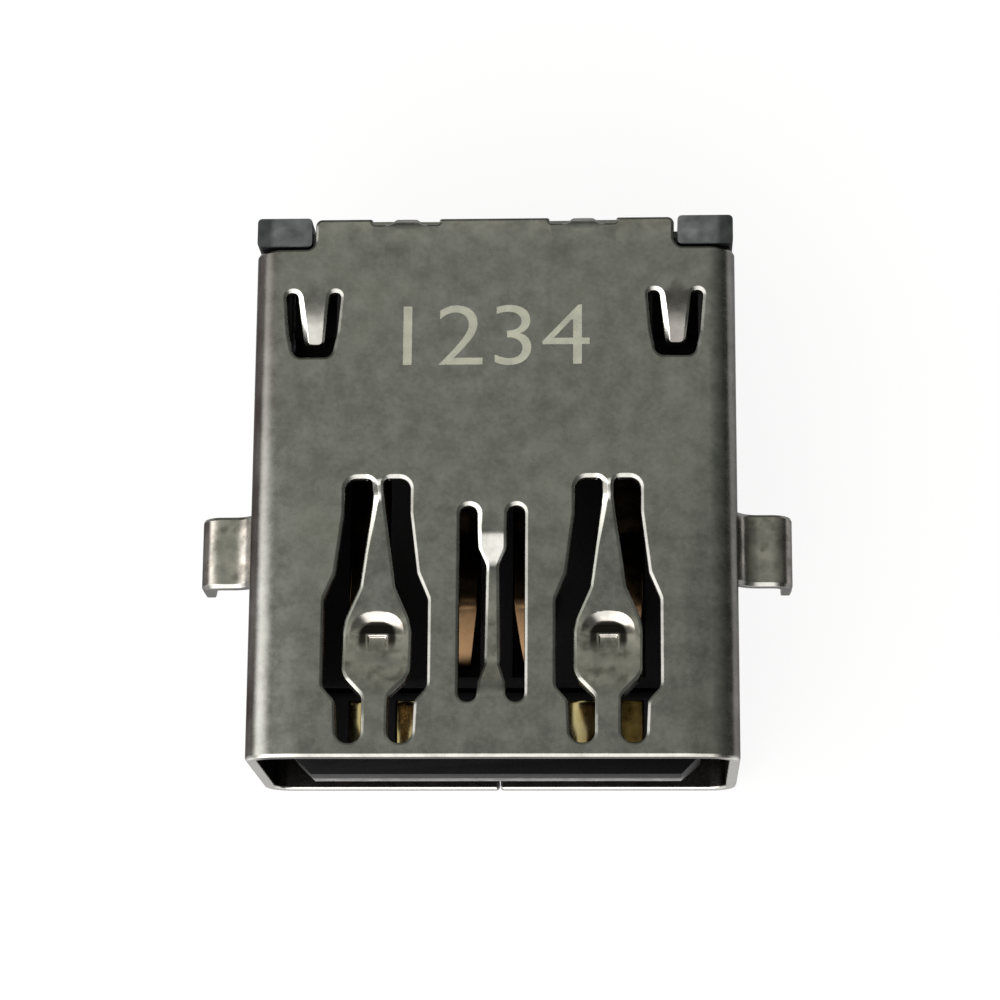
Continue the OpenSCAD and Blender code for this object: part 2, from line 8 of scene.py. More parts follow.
import bmesh
import bpy
import numpy as np
from mathutils.geometry import delaunay_2d_cdt
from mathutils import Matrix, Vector


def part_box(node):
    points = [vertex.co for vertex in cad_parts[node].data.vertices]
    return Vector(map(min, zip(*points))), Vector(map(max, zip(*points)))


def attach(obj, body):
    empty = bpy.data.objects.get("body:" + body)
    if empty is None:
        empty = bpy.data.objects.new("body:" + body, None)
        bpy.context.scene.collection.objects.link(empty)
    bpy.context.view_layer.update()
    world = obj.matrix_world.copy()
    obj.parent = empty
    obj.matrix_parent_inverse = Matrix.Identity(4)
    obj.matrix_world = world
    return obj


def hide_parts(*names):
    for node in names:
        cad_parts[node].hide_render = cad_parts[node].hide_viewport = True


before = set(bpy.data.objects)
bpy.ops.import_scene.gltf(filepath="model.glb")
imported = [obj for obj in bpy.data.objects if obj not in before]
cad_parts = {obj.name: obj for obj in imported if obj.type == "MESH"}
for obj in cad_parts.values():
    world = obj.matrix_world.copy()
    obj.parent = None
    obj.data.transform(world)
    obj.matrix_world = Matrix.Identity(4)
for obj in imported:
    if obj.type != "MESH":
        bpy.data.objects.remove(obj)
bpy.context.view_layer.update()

MM = 0.001
shell_low, shell_high = (np.array(corner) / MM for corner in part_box("shell"))
MOUTH_Y = shell_low[1]

# Shell: overall section and sheet
SHELL_H = shell_high[2] - shell_low[2]
SHELL_L = shell_high[1] - shell_low[1]
SHELL_W = 13.1
SHEET = 0.3
FOLD_R = 0.75
QUARTER = math.pi / 2

# Shell: stations along the blank's width, from the middle of the top
FLAT = SHELL_W / 2 - FOLD_R
WALL = SHELL_H - 2 * FOLD_R
S_WALL = FLAT + FOLD_R * QUARTER
S_LOW = S_WALL + WALL
S_BOTTOM = S_LOW + FOLD_R * QUARTER
S_FOOT = S_WALL + SHELL_H - FOLD_R

# Shell: stations along its length
PLATE_SETBACK = 0.1
NOTCH_W = 1.655
NOTCH_L = 0.85
BOTTOM_SETBACK = 3.0
PLATE_L = SHELL_L - PLATE_SETBACK
NOTCH_X = SHELL_W / 2 - NOTCH_W
WALL_L = PLATE_L - NOTCH_L
BOTTOM_L = SHELL_L - BOTTOM_SETBACK
STEP_Z = 3.65

# Shell: corner radii of the blank's border and cuts
SEAM_R = 0.11
BOTTOM_R = 0.15
STEP_R = 0.25
WALL_R = 0.2
NOTCH_R = 0.25
PLATE_R = 0.18
LIP_R = 0.12
RELIEF_R = 0.2
STRAP_R = 0.06
FLAP_R = 0.25
KEY_NECK_R = 0.12
KEY_HEAD_R = 0.15
SLOT_R = 0.3
CENTRE_SLOT_R = 0.24

# Shell: cut edges
EDGE_LEAN = math.radians(28)
NECK_LEAN = math.radians(24)
HEAD_LEAN = math.radians(17)
NECK_FROM = 5.7
NECK_RUN = 1.2
SPRING_END_LEAN = math.radians(46)
EDGE_BEVEL = 0.045
END_BEVEL = 0.09
LEFT_BEVEL = 0.055
SIDE_BEVEL = 0.12
MOUTH_BEVEL = 0.07
ROLL_R = 0.06
ROLL_RINGS = 4
CORNER_R = 0.05
CORNER_RINGS = 5
INNER_ARC = np.array([[0.0], [0.3], [1.0]])
EDGE_BREAK = 0.03
MOUTH_BREAK = 0.11
INNER_SHARE = 0.8
MOUTH_EDGE = 0.01
MOUTH_BEVEL_END = (S_WALL + 0.3, -0.6)

# Shell: spacing of points
CUT_STEP = 0.1
ARC_STEP = math.radians(14)
BEND_STEP = math.radians(3)
LINE_STEP = 0.05
COARSE_STEP = 0.8
FOLD_STEP = 0.5
BOW_STEP = 0.12
HEAD_STEP = 0.032
FINE_STEP = 0.1
LEG_STEP = 0.08
STRAP_STEP = 0.05
POINT_GAP = 0.05
PROBE = 0.05
BATCH = 1000

# Main springs: half widths against distance behind the mouth
SPRING_X = 3.08
SPRING_FRONT = 0.4
SPRING_REAR = 7.56
OPENING = np.array([
    [0.88, SPRING_REAR], [0.88, 6.6], [1.085, 4.95], [1.38, 4.25], [1.38, 1.9], [1.04, 1.52],
    [0.99, SPRING_FRONT],
])
BLANK = np.array([
    [0.15, SPRING_REAR], [0.15, 7.16], [0.485, 4.7], [0.86, 3.85], [0.93, 3.5], [0.93, 2.4], [0.8, 2.15],
    [0.35, 1.66], [0.35, SPRING_FRONT],
])
BOW_LINE = [(7.8, 0), (7.48, 0), (7.12, -0.72), (3.85, -1.0), (3.0, -0.92), (1.45, 0), (0.2, 0)]
TOP_BOW = 0.58
BOTTOM_BOW = 0.34
SPRING_BEND = 0.3
HEAD_BEND = 1.6
HEAD_RANGE = (2.3, 4.3)

# Pressed bowl and coined land in each top spring's head
BOWL_Y = 3.3
BOWL_R = 0.74
BOWL_WALL = 0.26
BOWL_DEPTH = 0.18
BOWL_POWER = 2.6
RAMP_L = 0.32
RAMP_LEAST = 0.25
LAND_Y = 3.4
LAND_L = 0.5
LAND_W = 0.54
LAND_STEP = 0.08
LAND_REAR = 0.08
LAND_SIDE = 0.06

# Centre spring
CENTRE_FRONT = 1.5
CENTRE_REAR = 6.8
CENTRE_HALF = 0.87
CENTRE_OPENING = np.array([[CENTRE_HALF, CENTRE_REAR], [CENTRE_HALF, CENTRE_FRONT]])
CENTRE_STRIP = np.array([
    [0.405, CENTRE_REAR], [0.385, 5.65], [0.18, 5.23], [0.22, 2.6], [0.37, 2.1], [0.405, CENTRE_FRONT],
])
CENTRE_LINE = [(7.0, 0), (6.05, 0), (5.23, -0.72), (2.65, -0.72), (1.75, 0), (1.3, 0)]

# Retention tongues: half widths, stations and corner radii
TAB_X = 4.92
TAB_ROOT = 12.8
TAB_TIP = 11.35
TAB_DROP = 0.55
TAB_OPENING = np.array([[0.755, TAB_ROOT, 0.2], [0.66, 11.65, 0.3], [0.52, 10.97, 0.25]])
TAB_BLANK = np.array([[0.44, TAB_ROOT, 0.15], [0.28, TAB_TIP, 0.2]])
TAB_LINE = [(13.1, 0), (12.4, 0), (11.3, -1.0)]
TAB_BEND = 2.0

# Solder legs: window in the wall and bent strip
LEG_Y = 5.96
LEG_W = 2.0
LEG_SLIT = 0.15
LEG_ROOT_Z = 4.6
LEG_FLAT_Z = 3.75
LEG_TIP_Z = 2.2
LEG_WINDOW_Z = 0.85
LEG_ROOT_BEND = 0.75
LEG_BEND = 0.4
LEG_CUT = 0.424
LEG_TIP_ROOM = 0.08
LEG_TURN_SHARE = 0.55
LEG_SLIT_R = 0.07
LEG_WINDOW_R = 0.15
LEG_TIP_R = 0.35
LEG_OUT = shell_high[0]

# Back flap on two straps
FLAP_HALF = 4.6
FLAP_LOW = 3.7
STRAP_X = 2.415
STRAP_HALF = 0.35
RELIEF_HALF = 0.28
RELIEF_DEPTH = 0.15
STRAP_BEND = 0.3
STRAP_LEAD = 1.0
FLAP_GAP = 0.13
FLAP_SPARE = 0.2

# Painted shade: share inside the tube, and pairs of a start and a run over which it grows in a head's pocket
INSIDE_SHADE = 0.85
SHADE_POCKET = (BOWL_R - BOWL_WALL + 0.07, -0.1)
SHADE_BEHIND = (LAND_Y, 0.05)
SHADE_BESIDE = (LAND_W / 2, 0.05)
SHADE_FRONT = (BOWL_Y - 0.45, 0.4)

# Painted shade on bends: shares left and right, then starts and runs; a negative run lets it fade
SHADE_SHARE = (1.0, 0.45)
TAB_SHADE = (0.3, 0.75)
REAR_SHADE = (0.65, 0.0)
FOLD_SHADE = ((FLAT + 0.459, 0.135), (S_WALL + 0.7, -0.7))
INNER_SHADE = ((FLAT - 0.05, 0.3), (FLAT + FOLD_R, -0.2))
REAR_GROWTH = (3.0, 10.0)
LEG_SHADE = ((0.0, 0.08), (0.9, -0.5))

# Worn plating and painted highlights on cut edges: starts and runs
HEAD_WORN = ((1.7, 0.4), (4.2, -0.5))
CENTRE_WORN = ((1.9, 0.4), (4.8, -0.4))
LEG_WORN = 0.3
REAR_WORN = (PLATE_L - 0.8, 0.6)
REAR_WORN_SHARE = 0.6
HIGHLIGHT_FROM = 1.5
HIGHLIGHT_FROM_CENTRE = 3.8
HIGHLIGHT_RUN = 0.5
HIGHLIGHT_HEAD = 0.6

# Rings of the edge profile with painted highlights on springs, and with painted highlights and painted shade
# at the mouth
SPRING_HIGHLIGHT = slice(1, 8)
MOUTH_HIGHLIGHT = slice(4, 11)
MOUTH_SHADE = slice(5, 8)

# Slight crown of the top plate into its folds, less of it towards the rear
CROWN = 0.085
CROWN_LESS = 0.078
CROWN_LEVEL = (2.0, 10.0)
CROWN_START = 0.75
CROWN_TOP = 0.5

# Plain digits marked on the top plate
DIGITS = "1234"
DIGIT_BOX = np.array([[-2.45, 10.7], [2.6, 12.4]])
DIGIT_THIN = -0.008
DIGIT_CURVE = 5

# Seam of the bottom plate
SEAM_HALF = 0.012
KEY_Y = 6.0
KEY_NECK = 0.6
KEY_HEAD = 0.8
KEY_DEPTH = 0.7

# Shell: rows of points across and along the blank
FLAT_ROWS = 15
WALL_ROWS = 6
LOW_ROWS = 9
FOLD_ROWS = 13
CROWN_ROWS = (0.15, CROWN_START, 5)
CENTRE_ROWS = (-0.36, 0.36, 6)
BOW_ROWS = (-0.8, 0.8, 11)
HEAD_ROWS = (-0.78, 0.79, HEAD_STEP)
TAB_ROWS = (-0.3, 0.3, 5)
STRAP_ROWS = (-0.25, 0.25, 4)
LEG_ROWS = (-0.8, 0.8, 5)
COARSE_FROM = 0.45
FOLD_FROM = 0.2
HEAD_ROOM = 0.02
ROW_ROOM = 0.1

# Contacts
CONTACT_T = 0.2
CONTACT_R = 0.25
CONTACT_EDGE = 0.05
CONTACT_STEP = 0.15
CONTACT_SIDES = 24
SPRUNG_X = {
    "contact_power": -3.5, "contact_data_minus": -1.0, "contact_data_plus": 1.0, "contact_ground": 3.5,
}
BLADE_X = {"blade_1": -3.55, "blade_2": -2.27, "blade_3": 0.0, "blade_4": 2.27, "blade_5": 3.55}
SPRUNG_PATH = [
    (3.05, 2.25), (4.62, 3.40), (6.75, 2.5), (10.6, 2.5), (10.6, 4.94), (13.9, 4.94), (13.9, 2.2),
]
SPRUNG_WIDTH = [(0.0, 0.56), (1.8, 1.0), (7.6, 1.0), (7.9, 0.6), (20.0, 0.6)]
BLADE_PATH = [
    (0.38, 2.44), (0.62, 2.78), (2.13, 2.78), (2.13, 1.5), (11.45, 1.5), (11.45, 4.54), (12.9, 4.54),
    (12.9, 2.2),
]
BLADE_WIDTH = [(0.0, 0.9), (2.45, 0.9), (2.65, 0.6), (30.0, 0.6)]

# Mouldings: rounded edges
MOULD_EDGE = 0.05
SPACER_EDGE = 0.04
MERGE = 1e-6
FLAT_TURN = 0.02
SHARP_TURN = math.radians(40)

# Studio light: a dome split along a slanted line, a bright wall and one lamp
DOME_LOW = 0.07
DOME_HIGH = 0.6
DOME_FRONT = 0.42
DOME_SLANT = 0.5
DOME_SPLIT = (-0.27, -0.1)
DOME_TINT = (0.97, 1.03, 0.9)
WALL_LIGHT = 3.6
WALL_WAY = (-0.66, -0.751, 0.0)
WALL_SIDES = (0.16, 0.5)
WALL_FOOT = (0.0, 0.35)
WALL_TINT = (1.0, 0.99, 0.96)
LAMP_PLACE = (-70, -110, 90)
LAMP_AIM = (0, 0, 3)
LAMP_SIZE = 70
LAMP_RADIANCE = 3.0

# Floor: how pale it is, how much paler where it is seen, and its share of plain white there
FLOOR_PALE = 0.42
FLOOR_SEEN = 0.48
FLOOR_WHITE = 0.9
FLOOR_HALF = 2000.0
FLOOR_DROP = 0.02

# Camera: place from the mouth's middle, turn in radians, lens as a multiple of the sensor
CAMERA_PLACE = (4.082, -13.383, 86.042)
CAMERA_TURN = (0.24788, 0.04655, 0.00667)
SENSOR = 36.0
LENS = 3.1062
CLIP = (2.0, 20000.0)

# Surfaces: usual range of a noise, its range at the edge of a patch, lean of faces that look up, bump height
NOISE_RANGE = (0.3, 0.7)
PATCH_RANGE = (0.5, 0.68)
FACES_UP = (0.5, 0.95)
BUMP_HEIGHT = 0.02


def unit(v):
    """Vectors scaled to length one."""
    return v / np.maximum(np.linalg.norm(v, axis=-1, keepdims=True), 1e-12)


def arc_corner(before, corner, after, radius, step=ARC_STEP):
    """Arc that rounds a corner: tangent to both edges, no larger than the two given neighbours allow."""
    ahead = unit(corner - before)
    onward = unit(after - corner)
    turn = math.atan2(ahead[0] * onward[1] - ahead[1] * onward[0], ahead @ onward)
    if abs(turn) < 1e-4:
        return corner[None]
    room = min(np.linalg.norm(corner - before), np.linalg.norm(after - corner))
    reach = min(radius * math.tan(abs(turn) / 2), room)
    r = reach / math.tan(abs(turn) / 2)
    left = np.array([-ahead[1], ahead[0]]) * np.sign(turn)
    hub = corner - ahead * reach + left * r
    angle = np.linspace(0, turn, max(2, math.ceil(abs(turn) / step) + 1))[:, None]
    return hub + r * (np.sin(angle) * ahead * np.sign(turn) - np.cos(angle) * left)


def fill(points, step, closed):
    """Points added evenly along each edge so that neighbours lie at most a step apart."""
    points = np.asarray(points, float)
    following = np.roll(points, -1, axis=0)
    count = np.maximum(np.ceil(np.linalg.norm(following - points, axis=1) / step - 1e-9).astype(int), 1)
    if not closed:
        count[-1] = 1
    index = np.repeat(np.arange(len(points)), count)
    first = np.repeat(np.cumsum(count) - count, count)
    share = ((np.arange(count.sum()) - first) / count[index])[:, None]
    return points[index] + share * (following[index] - points[index])


def outline(corners, radii, step=CUT_STEP):
    """Closed outline: each corner an arc of its radius, straight edges filled to the step."""
    corners = np.asarray(corners, float)
    radii = np.broadcast_to(radii, len(corners))
    share = 0.47
    before = corners + share * (np.roll(corners, 1, axis=0) - corners)
    after = corners + share * (np.roll(corners, -1, axis=0) - corners)
    arcs = [arc_corner(a, c, b, r) for a, c, b, r in zip(before, corners, after, radii)]
    return fill(np.concatenate(arcs), step, True)


def bent_line(corners, radius, step=LINE_STEP, turn_step=BEND_STEP):
    """Line whose bends are arcs: its points and running length, each chord's left normal and the running
    length at its middle."""
    corners = np.asarray(corners, float)
    radii = np.broadcast_to(radius, len(corners) - 2)
    middles = (corners[1:-2] + corners[2:-1]) / 2
    ends = np.concatenate([corners[:1], middles, corners[-1:]])
    bends = zip(ends[:-1], corners[1:-1], ends[1:], radii)
    arcs = [arc_corner(a, c, b, r, turn_step) for a, c, b, r in bends]
    line = fill(np.concatenate([corners[:1], *arcs, corners[-1:]]), step, False)
    chord = np.diff(line, axis=0)
    length = np.concatenate([[0], np.cumsum(np.linalg.norm(chord, axis=1))])
    normal = unit(np.stack([-chord[:, 1], chord[:, 0]], -1))
    return line, length, normal, (length[1:] + length[:-1]) / 2


def along(run, bent, lift):
    """Points at the given running lengths of a bent line, lifted off it to the left."""
    line, length, normal, middle = bent
    at = np.stack([np.interp(run, length, line[:, k]) for k in range(2)], -1)
    left = np.stack([np.interp(run, middle, normal[:, k]) for k in range(2)], -1)
    return at + unit(left) * lift


def depth_curve(corners, radius):
    """Depth below the plate against distance behind the mouth, for a spring's bent line."""
    y, height = bent_line(corners, radius)[0][::-1].T
    return y, -height


def half_width(stations, y):
    """Half width at each y, straight between the stations, which run from rear to front."""
    return np.interp(y, stations[::-1, 1], stations[::-1, 0])


def smooth(value):
    """Smooth step from 0 to 1 as the value goes from 0 to 1."""
    t = np.clip(value, 0, 1)
    return t * t * (3 - 2 * t)


def rise(value, start, run):
    """Smooth step from 0 at the start to 1 a run further on; a negative run goes the other way."""
    return smooth((value - start) / run)


def band(value, *limits):
    """Product of smooth steps, each given by its start and run."""
    return np.prod([rise(value, *limit) for limit in limits], axis=0)


def eased_ramp(value):
    """Straight ramp from 0 to 1 whose two ends are eased over a tenth of its length."""
    e = 0.1
    t = np.clip(value, 0, 1)
    low = np.clip(t, 0, e)
    high = np.clip(1 - t, 0, e)
    return (t - low + low * low / (2 * e) + high - high * high / (2 * e) - e / 2) / (1 - e)


# Bent middle lines of the springs, legs and straps
bow_curve = depth_curve(BOW_LINE, [SPRING_BEND] * 2 + [HEAD_BEND] * 3)
centre_curve = depth_curve(CENTRE_LINE, SPRING_BEND)
tab_curve = depth_curve(TAB_LINE, TAB_BEND)
LEG_IN_X = SHELL_W / 2 - SHEET / 2
LEG_OUT_X = LEG_OUT - SHEET / 2
leg_line = bent_line([
    (LEG_IN_X, LEG_ROOT_Z), (LEG_IN_X, LEG_FLAT_Z), (LEG_OUT_X, LEG_FLAT_Z), (LEG_OUT_X, LEG_TIP_Z),
], [LEG_ROOT_BEND, LEG_BEND])
PLATE_Z = SHELL_H - SHEET / 2
FLAP_Y = SHELL_L - SHEET / 2
STRAP_START = FLAP_Y - STRAP_BEND
strap_line = bent_line([
    (STRAP_START - STRAP_LEAD, PLATE_Z), (FLAP_Y, PLATE_Z), (FLAP_Y, FLAP_LOW - FLAP_SPARE),
], STRAP_BEND)
LEG_L = leg_line[1][-1]
LEG_TURN = np.interp(LEG_OUT_X - LEG_TURN_SHARE * LEG_BEND, leg_line[0][:, 0], leg_line[1])
S_LEG = S_FOOT - LEG_ROOT_Z
FLAP_TOP = PLATE_L + FLAP_GAP
FLAP_END = STRAP_START + STRAP_BEND * QUARTER + PLATE_Z - STRAP_BEND - FLAP_LOW

PLAIN, TOP_SPRING, CENTRE, TAB, BOTTOM_SPRING, LEG, STRAP = range(7)


def zone_of(s, y):
    """Bent feature that each point of the blank belongs to: it lies inside the middle line of its cut."""
    q = np.abs(s)
    zone = np.full(s.shape, PLAIN)
    spring_half = (half_width(OPENING, y) + half_width(BLANK, y)) / 2
    in_spring = (y > SPRING_FRONT) & (y < SPRING_REAR)
    zone[(np.abs(q - SPRING_X) < spring_half) & in_spring] = TOP_SPRING
    bottom_x = FLAT - (q - S_BOTTOM)
    zone[(np.abs(bottom_x - SPRING_X) < spring_half) & in_spring & (q > S_BOTTOM)] = BOTTOM_SPRING
    centre_half = (CENTRE_HALF + half_width(CENTRE_STRIP, y)) / 2
    zone[(q < centre_half) & (y > CENTRE_FRONT) & (y < CENTRE_REAR)] = CENTRE
    tab_half = (half_width(TAB_OPENING, y) + half_width(TAB_BLANK, y)) / 2
    tab_front = (TAB_TIP + TAB_OPENING[-1, 1]) / 2
    zone[(np.abs(q - TAB_X) < tab_half) & (y > tab_front) & (y < TAB_ROOT)] = TAB
    run = q - S_LEG
    zone[(np.abs(y - LEG_Y) < (LEG_W + LEG_SLIT) / 2) & (run > 0) & (run < LEG_L + LEG_TIP_ROOM)] = LEG
    near_strap = np.abs(q - STRAP_X) < STRAP_HALF + 2 * RELIEF_HALF
    zone[(y > STRAP_START) & near_strap & (q < FLAT)] = STRAP
    zone[(y > PLATE_L + FLAP_GAP / 2) & (q < FLAT)] = STRAP
    return zone


def bowl_reach(u, y):
    """Distance from the bowl's middle; places at equal distances form a square with round corners."""
    return (np.abs(u) ** BOWL_POWER + np.abs(y - BOWL_Y) ** BOWL_POWER) ** (1 / BOWL_POWER)


def head_press(u, y):
    """Pressed head of a top spring: a steep bowl, whose floor ramps up forward of its rear wall and fades
    out to the front, and a small square land coined into it that drops at its rear edge."""
    rim = eased_ramp((BOWL_R - bowl_reach(u, y)) / BOWL_WALL)
    ramp = RAMP_LEAST + (1 - RAMP_LEAST) * eased_ramp((y - LAND_Y) / RAMP_L)
    fade = smooth((y - BOWL_Y + BOWL_R) / (LAND_Y - BOWL_Y + BOWL_R))
    front = LAND_Y - y
    land = band(front, (0, LAND_REAR), (LAND_L, -LAND_L)) * rise(np.abs(u), LAND_W / 2, -LAND_SIDE)
    return BOWL_DEPTH * rim * ramp * fade + LAND_STEP * land


def head_shade(u, y):
    """Painted shade in a head's pocket: inside the bowl's wall, behind the land and beside it."""
    beside = rise(np.abs(u), *SHADE_BESIDE) * rise(y, *SHADE_FRONT)
    return rise(bowl_reach(u, y), *SHADE_POCKET) * np.maximum(rise(y, *SHADE_BEHIND), beside)


def bend_shade(s, y, zone):
    """Painted shade where the sheet is bent most: on the outer half of the long folds and the outer bends of
    the legs, stronger on the left, on the tongues, and to the rear on the left fold's inner half."""
    q = np.abs(s)
    share, tab, rear = (np.where(s < 0, *pair) for pair in (SHADE_SHARE, TAB_SHADE, REAR_SHADE))
    inner = rear * rise(y, *REAR_GROWTH) * band(q, *INNER_SHADE)
    fold = share * np.maximum(band(q, *FOLD_SHADE), inner)
    leg = share * band(q - S_LEG - LEG_TURN, *LEG_SHADE)
    return np.select([zone == PLAIN, zone == LEG, zone == TAB], [fold, leg, tab], 0.0)


def worn_plating(q, y, zone):
    """Paler plating on the heads of the top springs, the front of the centre spring, the legs and the rear
    edge of the plate."""
    worn = {
        TOP_SPRING: band(y, *HEAD_WORN), CENTRE: band(y, *CENTRE_WORN), LEG: rise(q, S_LEG, LEG_WORN),
        PLAIN: REAR_WORN_SHARE * rise(y, *REAR_WORN) * (q < NOTCH_X),
    }
    return np.select([zone == name for name in worn], list(worn.values()), 0.0)


def place(s, y, zone):
    """Outer face of the sheet: flat, quarter arc, wall, quarter arc, flat, with a slight crown into the top
    folds. Springs and tongues sink along the inward normal; legs and straps follow bent lines."""
    q = np.abs(s)
    side = np.where(s < 0, -1.0, 1.0)
    top_arc = np.clip((q - FLAT) / FOLD_R, 0, QUARTER)
    low_arc = np.clip((q - S_LOW) / FOLD_R, 0, QUARTER)
    x = np.minimum(q, FLAT) + FOLD_R * (np.sin(top_arc) + np.cos(low_arc) - 1)
    x = x - np.maximum(q - S_BOTTOM, 0)
    z = SHELL_H - FOLD_R * (1 - np.cos(top_arc) + np.sin(low_arc)) - np.clip(q - S_WALL, 0, WALL)
    crown = smooth((q - FLAT + CROWN_START) / (CROWN_START + CROWN_TOP))
    crown = crown - smooth((q - FLAT - CROWN_TOP) / (S_WALL - FLAT - CROWN_TOP))
    z = z - crown * (CROWN - CROWN_LESS * rise(y, *CROWN_LEVEL))
    lean = top_arc + low_arc
    depths = {
        TOP_SPRING: (TOP_BOW, bow_curve), BOTTOM_SPRING: (BOTTOM_BOW, bow_curve),
        CENTRE: (TOP_BOW, centre_curve), TAB: (TAB_DROP, tab_curve),
    }
    sink = np.zeros(s.shape)
    for name, (depth, curve) in depths.items():
        m = zone == name
        sink[m] = depth * np.interp(y[m], *curve)
    m = zone == TOP_SPRING
    sink[m] += head_press(q[m] - SPRING_X, y[m])
    x = x - np.sin(lean) * sink
    z = z - np.cos(lean) * sink
    y = y.copy()
    m = zone == LEG
    x[m], z[m] = along(q[m] - S_LEG, leg_line, SHEET / 2).T
    m = zone == STRAP
    outer = along(y[m] - STRAP_START + STRAP_LEAD, strap_line, SHEET / 2)
    off = np.abs(q[m] - STRAP_X) - STRAP_HALF
    share = np.where(y[m] > PLATE_L + FLAP_GAP / 2, 1.0, 1 - smooth(off / RELIEF_HALF))
    z[m] += share * (outer[:, 1] - z[m])
    y[m] += share * (outer[:, 0] - y[m])
    return np.stack([side * x, y, z], -1)


def sheet_frame(s, y):
    """Outer point, outward normal and the two tangents of the sheet at each place of the blank."""
    zone = zone_of(s, y)
    e = 0.002
    across = unit(place(s + e, y, zone) - place(s - e, y, zone))
    back = unit(place(s, y + e, zone) - place(s, y - e, zone))
    return place(s, y, zone), unit(np.cross(across, back)), across, back


def mirrored(corners):
    """Corners with their radii, followed by their mirror images in reverse."""
    return corners + [(-s, y, r) for s, y, r in reversed(corners)]


def rounded(corners):
    """Closed outline of corners that carry their own radii."""
    corners = np.array(corners)
    return outline(corners[:, :2], corners[:, 2])


def relief(way):
    """Corners of the relief cut beside a strap, on its outer or inner side, from the flap to the plate."""
    cut = STRAP_X + way * STRAP_HALF
    end = cut + way * 2 * RELIEF_HALF
    deep = PLATE_L - RELIEF_DEPTH
    return [(cut, FLAP_TOP, STRAP_R), (cut, deep, RELIEF_R), (end, deep, RELIEF_R), (end, PLATE_L, LIP_R)]


def blank_border():
    """Outer border of the flat blank, anticlockwise: mouth edge, seam edge with the key, rear edge with
    step, notches, relief cuts and flap, seam edge with the socket."""
    edge = S_BOTTOM + FLAT - SEAM_HALF
    g = SEAM_HALF
    s_step = S_FOOT - STEP_Z
    key = [
        (edge, KEY_Y - KEY_NECK + g, KEY_NECK_R), (edge + KEY_DEPTH, KEY_Y - KEY_HEAD + g, KEY_HEAD_R),
        (edge + KEY_DEPTH, KEY_Y + KEY_HEAD - g, KEY_HEAD_R), (edge, KEY_Y + KEY_NECK - g, KEY_NECK_R),
    ]
    socket = [
        (-edge, KEY_Y + KEY_NECK + g, KEY_HEAD_R), (KEY_DEPTH - edge, KEY_Y + KEY_HEAD + g, KEY_NECK_R),
        (KEY_DEPTH - edge, KEY_Y - KEY_HEAD - g, KEY_NECK_R), (-edge, KEY_Y - KEY_NECK - g, KEY_HEAD_R),
    ]
    rear = [
        (edge, BOTTOM_L, BOTTOM_R), (s_step, BOTTOM_L, STEP_R), (s_step, WALL_L, WALL_R),
        (NOTCH_X, WALL_L, NOTCH_R), (NOTCH_X, PLATE_L, PLATE_R), *reversed(relief(1)),
        (FLAP_HALF, FLAP_TOP, FLAP_R), (FLAP_HALF, FLAP_END, FLAP_R),
    ]
    return rounded([(-edge, 0.0, SEAM_R), (edge, 0.0, SEAM_R), *key, *mirrored(rear), *socket])


def slot_between(opening, blank, axis, side, radius):
    """Cut between the edge of an opening and one side of its spring, with rounded ends."""
    corners = np.concatenate([opening, blank[::-1]])
    return outline(corners * (side, 1) + (axis, 0), radius)


def blank_cuts():
    """All closed cuts in the blank: slots of the springs, tongue cuts, leg windows and the flap's slit."""
    cuts = []
    for side in (-1, 1):
        cuts.append(slot_between(CENTRE_OPENING, CENTRE_STRIP, 0.0, side, CENTRE_SLOT_R))
        for axis in (-SPRING_X, SPRING_X):
            cuts.append(slot_between(OPENING, BLANK, axis, side, SLOT_R))
            below = slot_between(OPENING, BLANK, SPRING_X, side, SLOT_R)
            below[:, 0] = np.sign(axis) * (S_BOTTOM + FLAT - below[:, 0])
            cuts.append(below)
        flip = (-1, 1, 1)
        tab = np.concatenate([TAB_OPENING * flip, TAB_OPENING[::-1], TAB_BLANK, TAB_BLANK[::-1] * flip])
        cuts.append(rounded(tab + (side * TAB_X, 0, 0)))
        cuts.append(leg_window(side))
    return cuts + [rounded(mirrored(relief(-1)))]


def leg_window(side):
    """Cut round a leg in the wall: window and two slits, with the leg's tip cut at 45 degrees."""
    half = LEG_W / 2
    out = half + LEG_SLIT
    low = S_FOOT - LEG_WINDOW_Z
    tip = S_LEG + LEG_L
    corners = np.array([
        (S_LEG, -out, LEG_SLIT_R), (low, -out, LEG_WINDOW_R), (low, out, LEG_WINDOW_R),
        (S_LEG, out, LEG_SLIT_R), (S_LEG, half, LEG_SLIT_R), (tip - LEG_CUT, half, LEG_TIP_R),
        (tip, half - LEG_CUT, LEG_TIP_R), (tip, LEG_CUT - half, LEG_TIP_R),
        (tip - LEG_CUT, -half, LEG_TIP_R), (S_LEG, -half, LEG_SLIT_R),
    ])
    return rounded(corners * (side, 1, 1) + (0, LEG_Y, 0))


def turned(loop, anticlockwise):
    """The loop in the given sense, by the sign of its area."""
    following = np.roll(loop, -1, axis=0)
    area = np.sum(loop[:, 0] * following[:, 1] - loop[:, 1] * following[:, 0])
    return loop if (area > 0) == anticlockwise else loop[::-1]


def inside(points, start, end):
    """Even-odd test of points against closed borders given as edges: counts those crossed to the right."""
    result = []
    climb = end[:, 1] - start[:, 1]
    slope = (end[:, 0] - start[:, 0]) / np.where(climb == 0, 1e-12, climb)
    for batch in np.split(points, range(BATCH, len(points), BATCH)):
        x, y = batch.T[:, :, None]
        spans = (start[:, 1] > y) != (end[:, 1] > y)
        right = x < start[:, 0] + (y - start[:, 1]) * slope
        result.append(np.sum(spans & right, axis=1) % 2 == 1)
    return np.concatenate(result)


def clear_of(points, others, gap):
    """Points that lie at least a gap away from all the others."""
    batches = np.split(points, range(BATCH, len(points), BATCH))
    near = [np.min(np.sum((batch[:, None] - others) ** 2, axis=-1), axis=1) for batch in batches]
    return points[np.concatenate(near) > gap * gap]


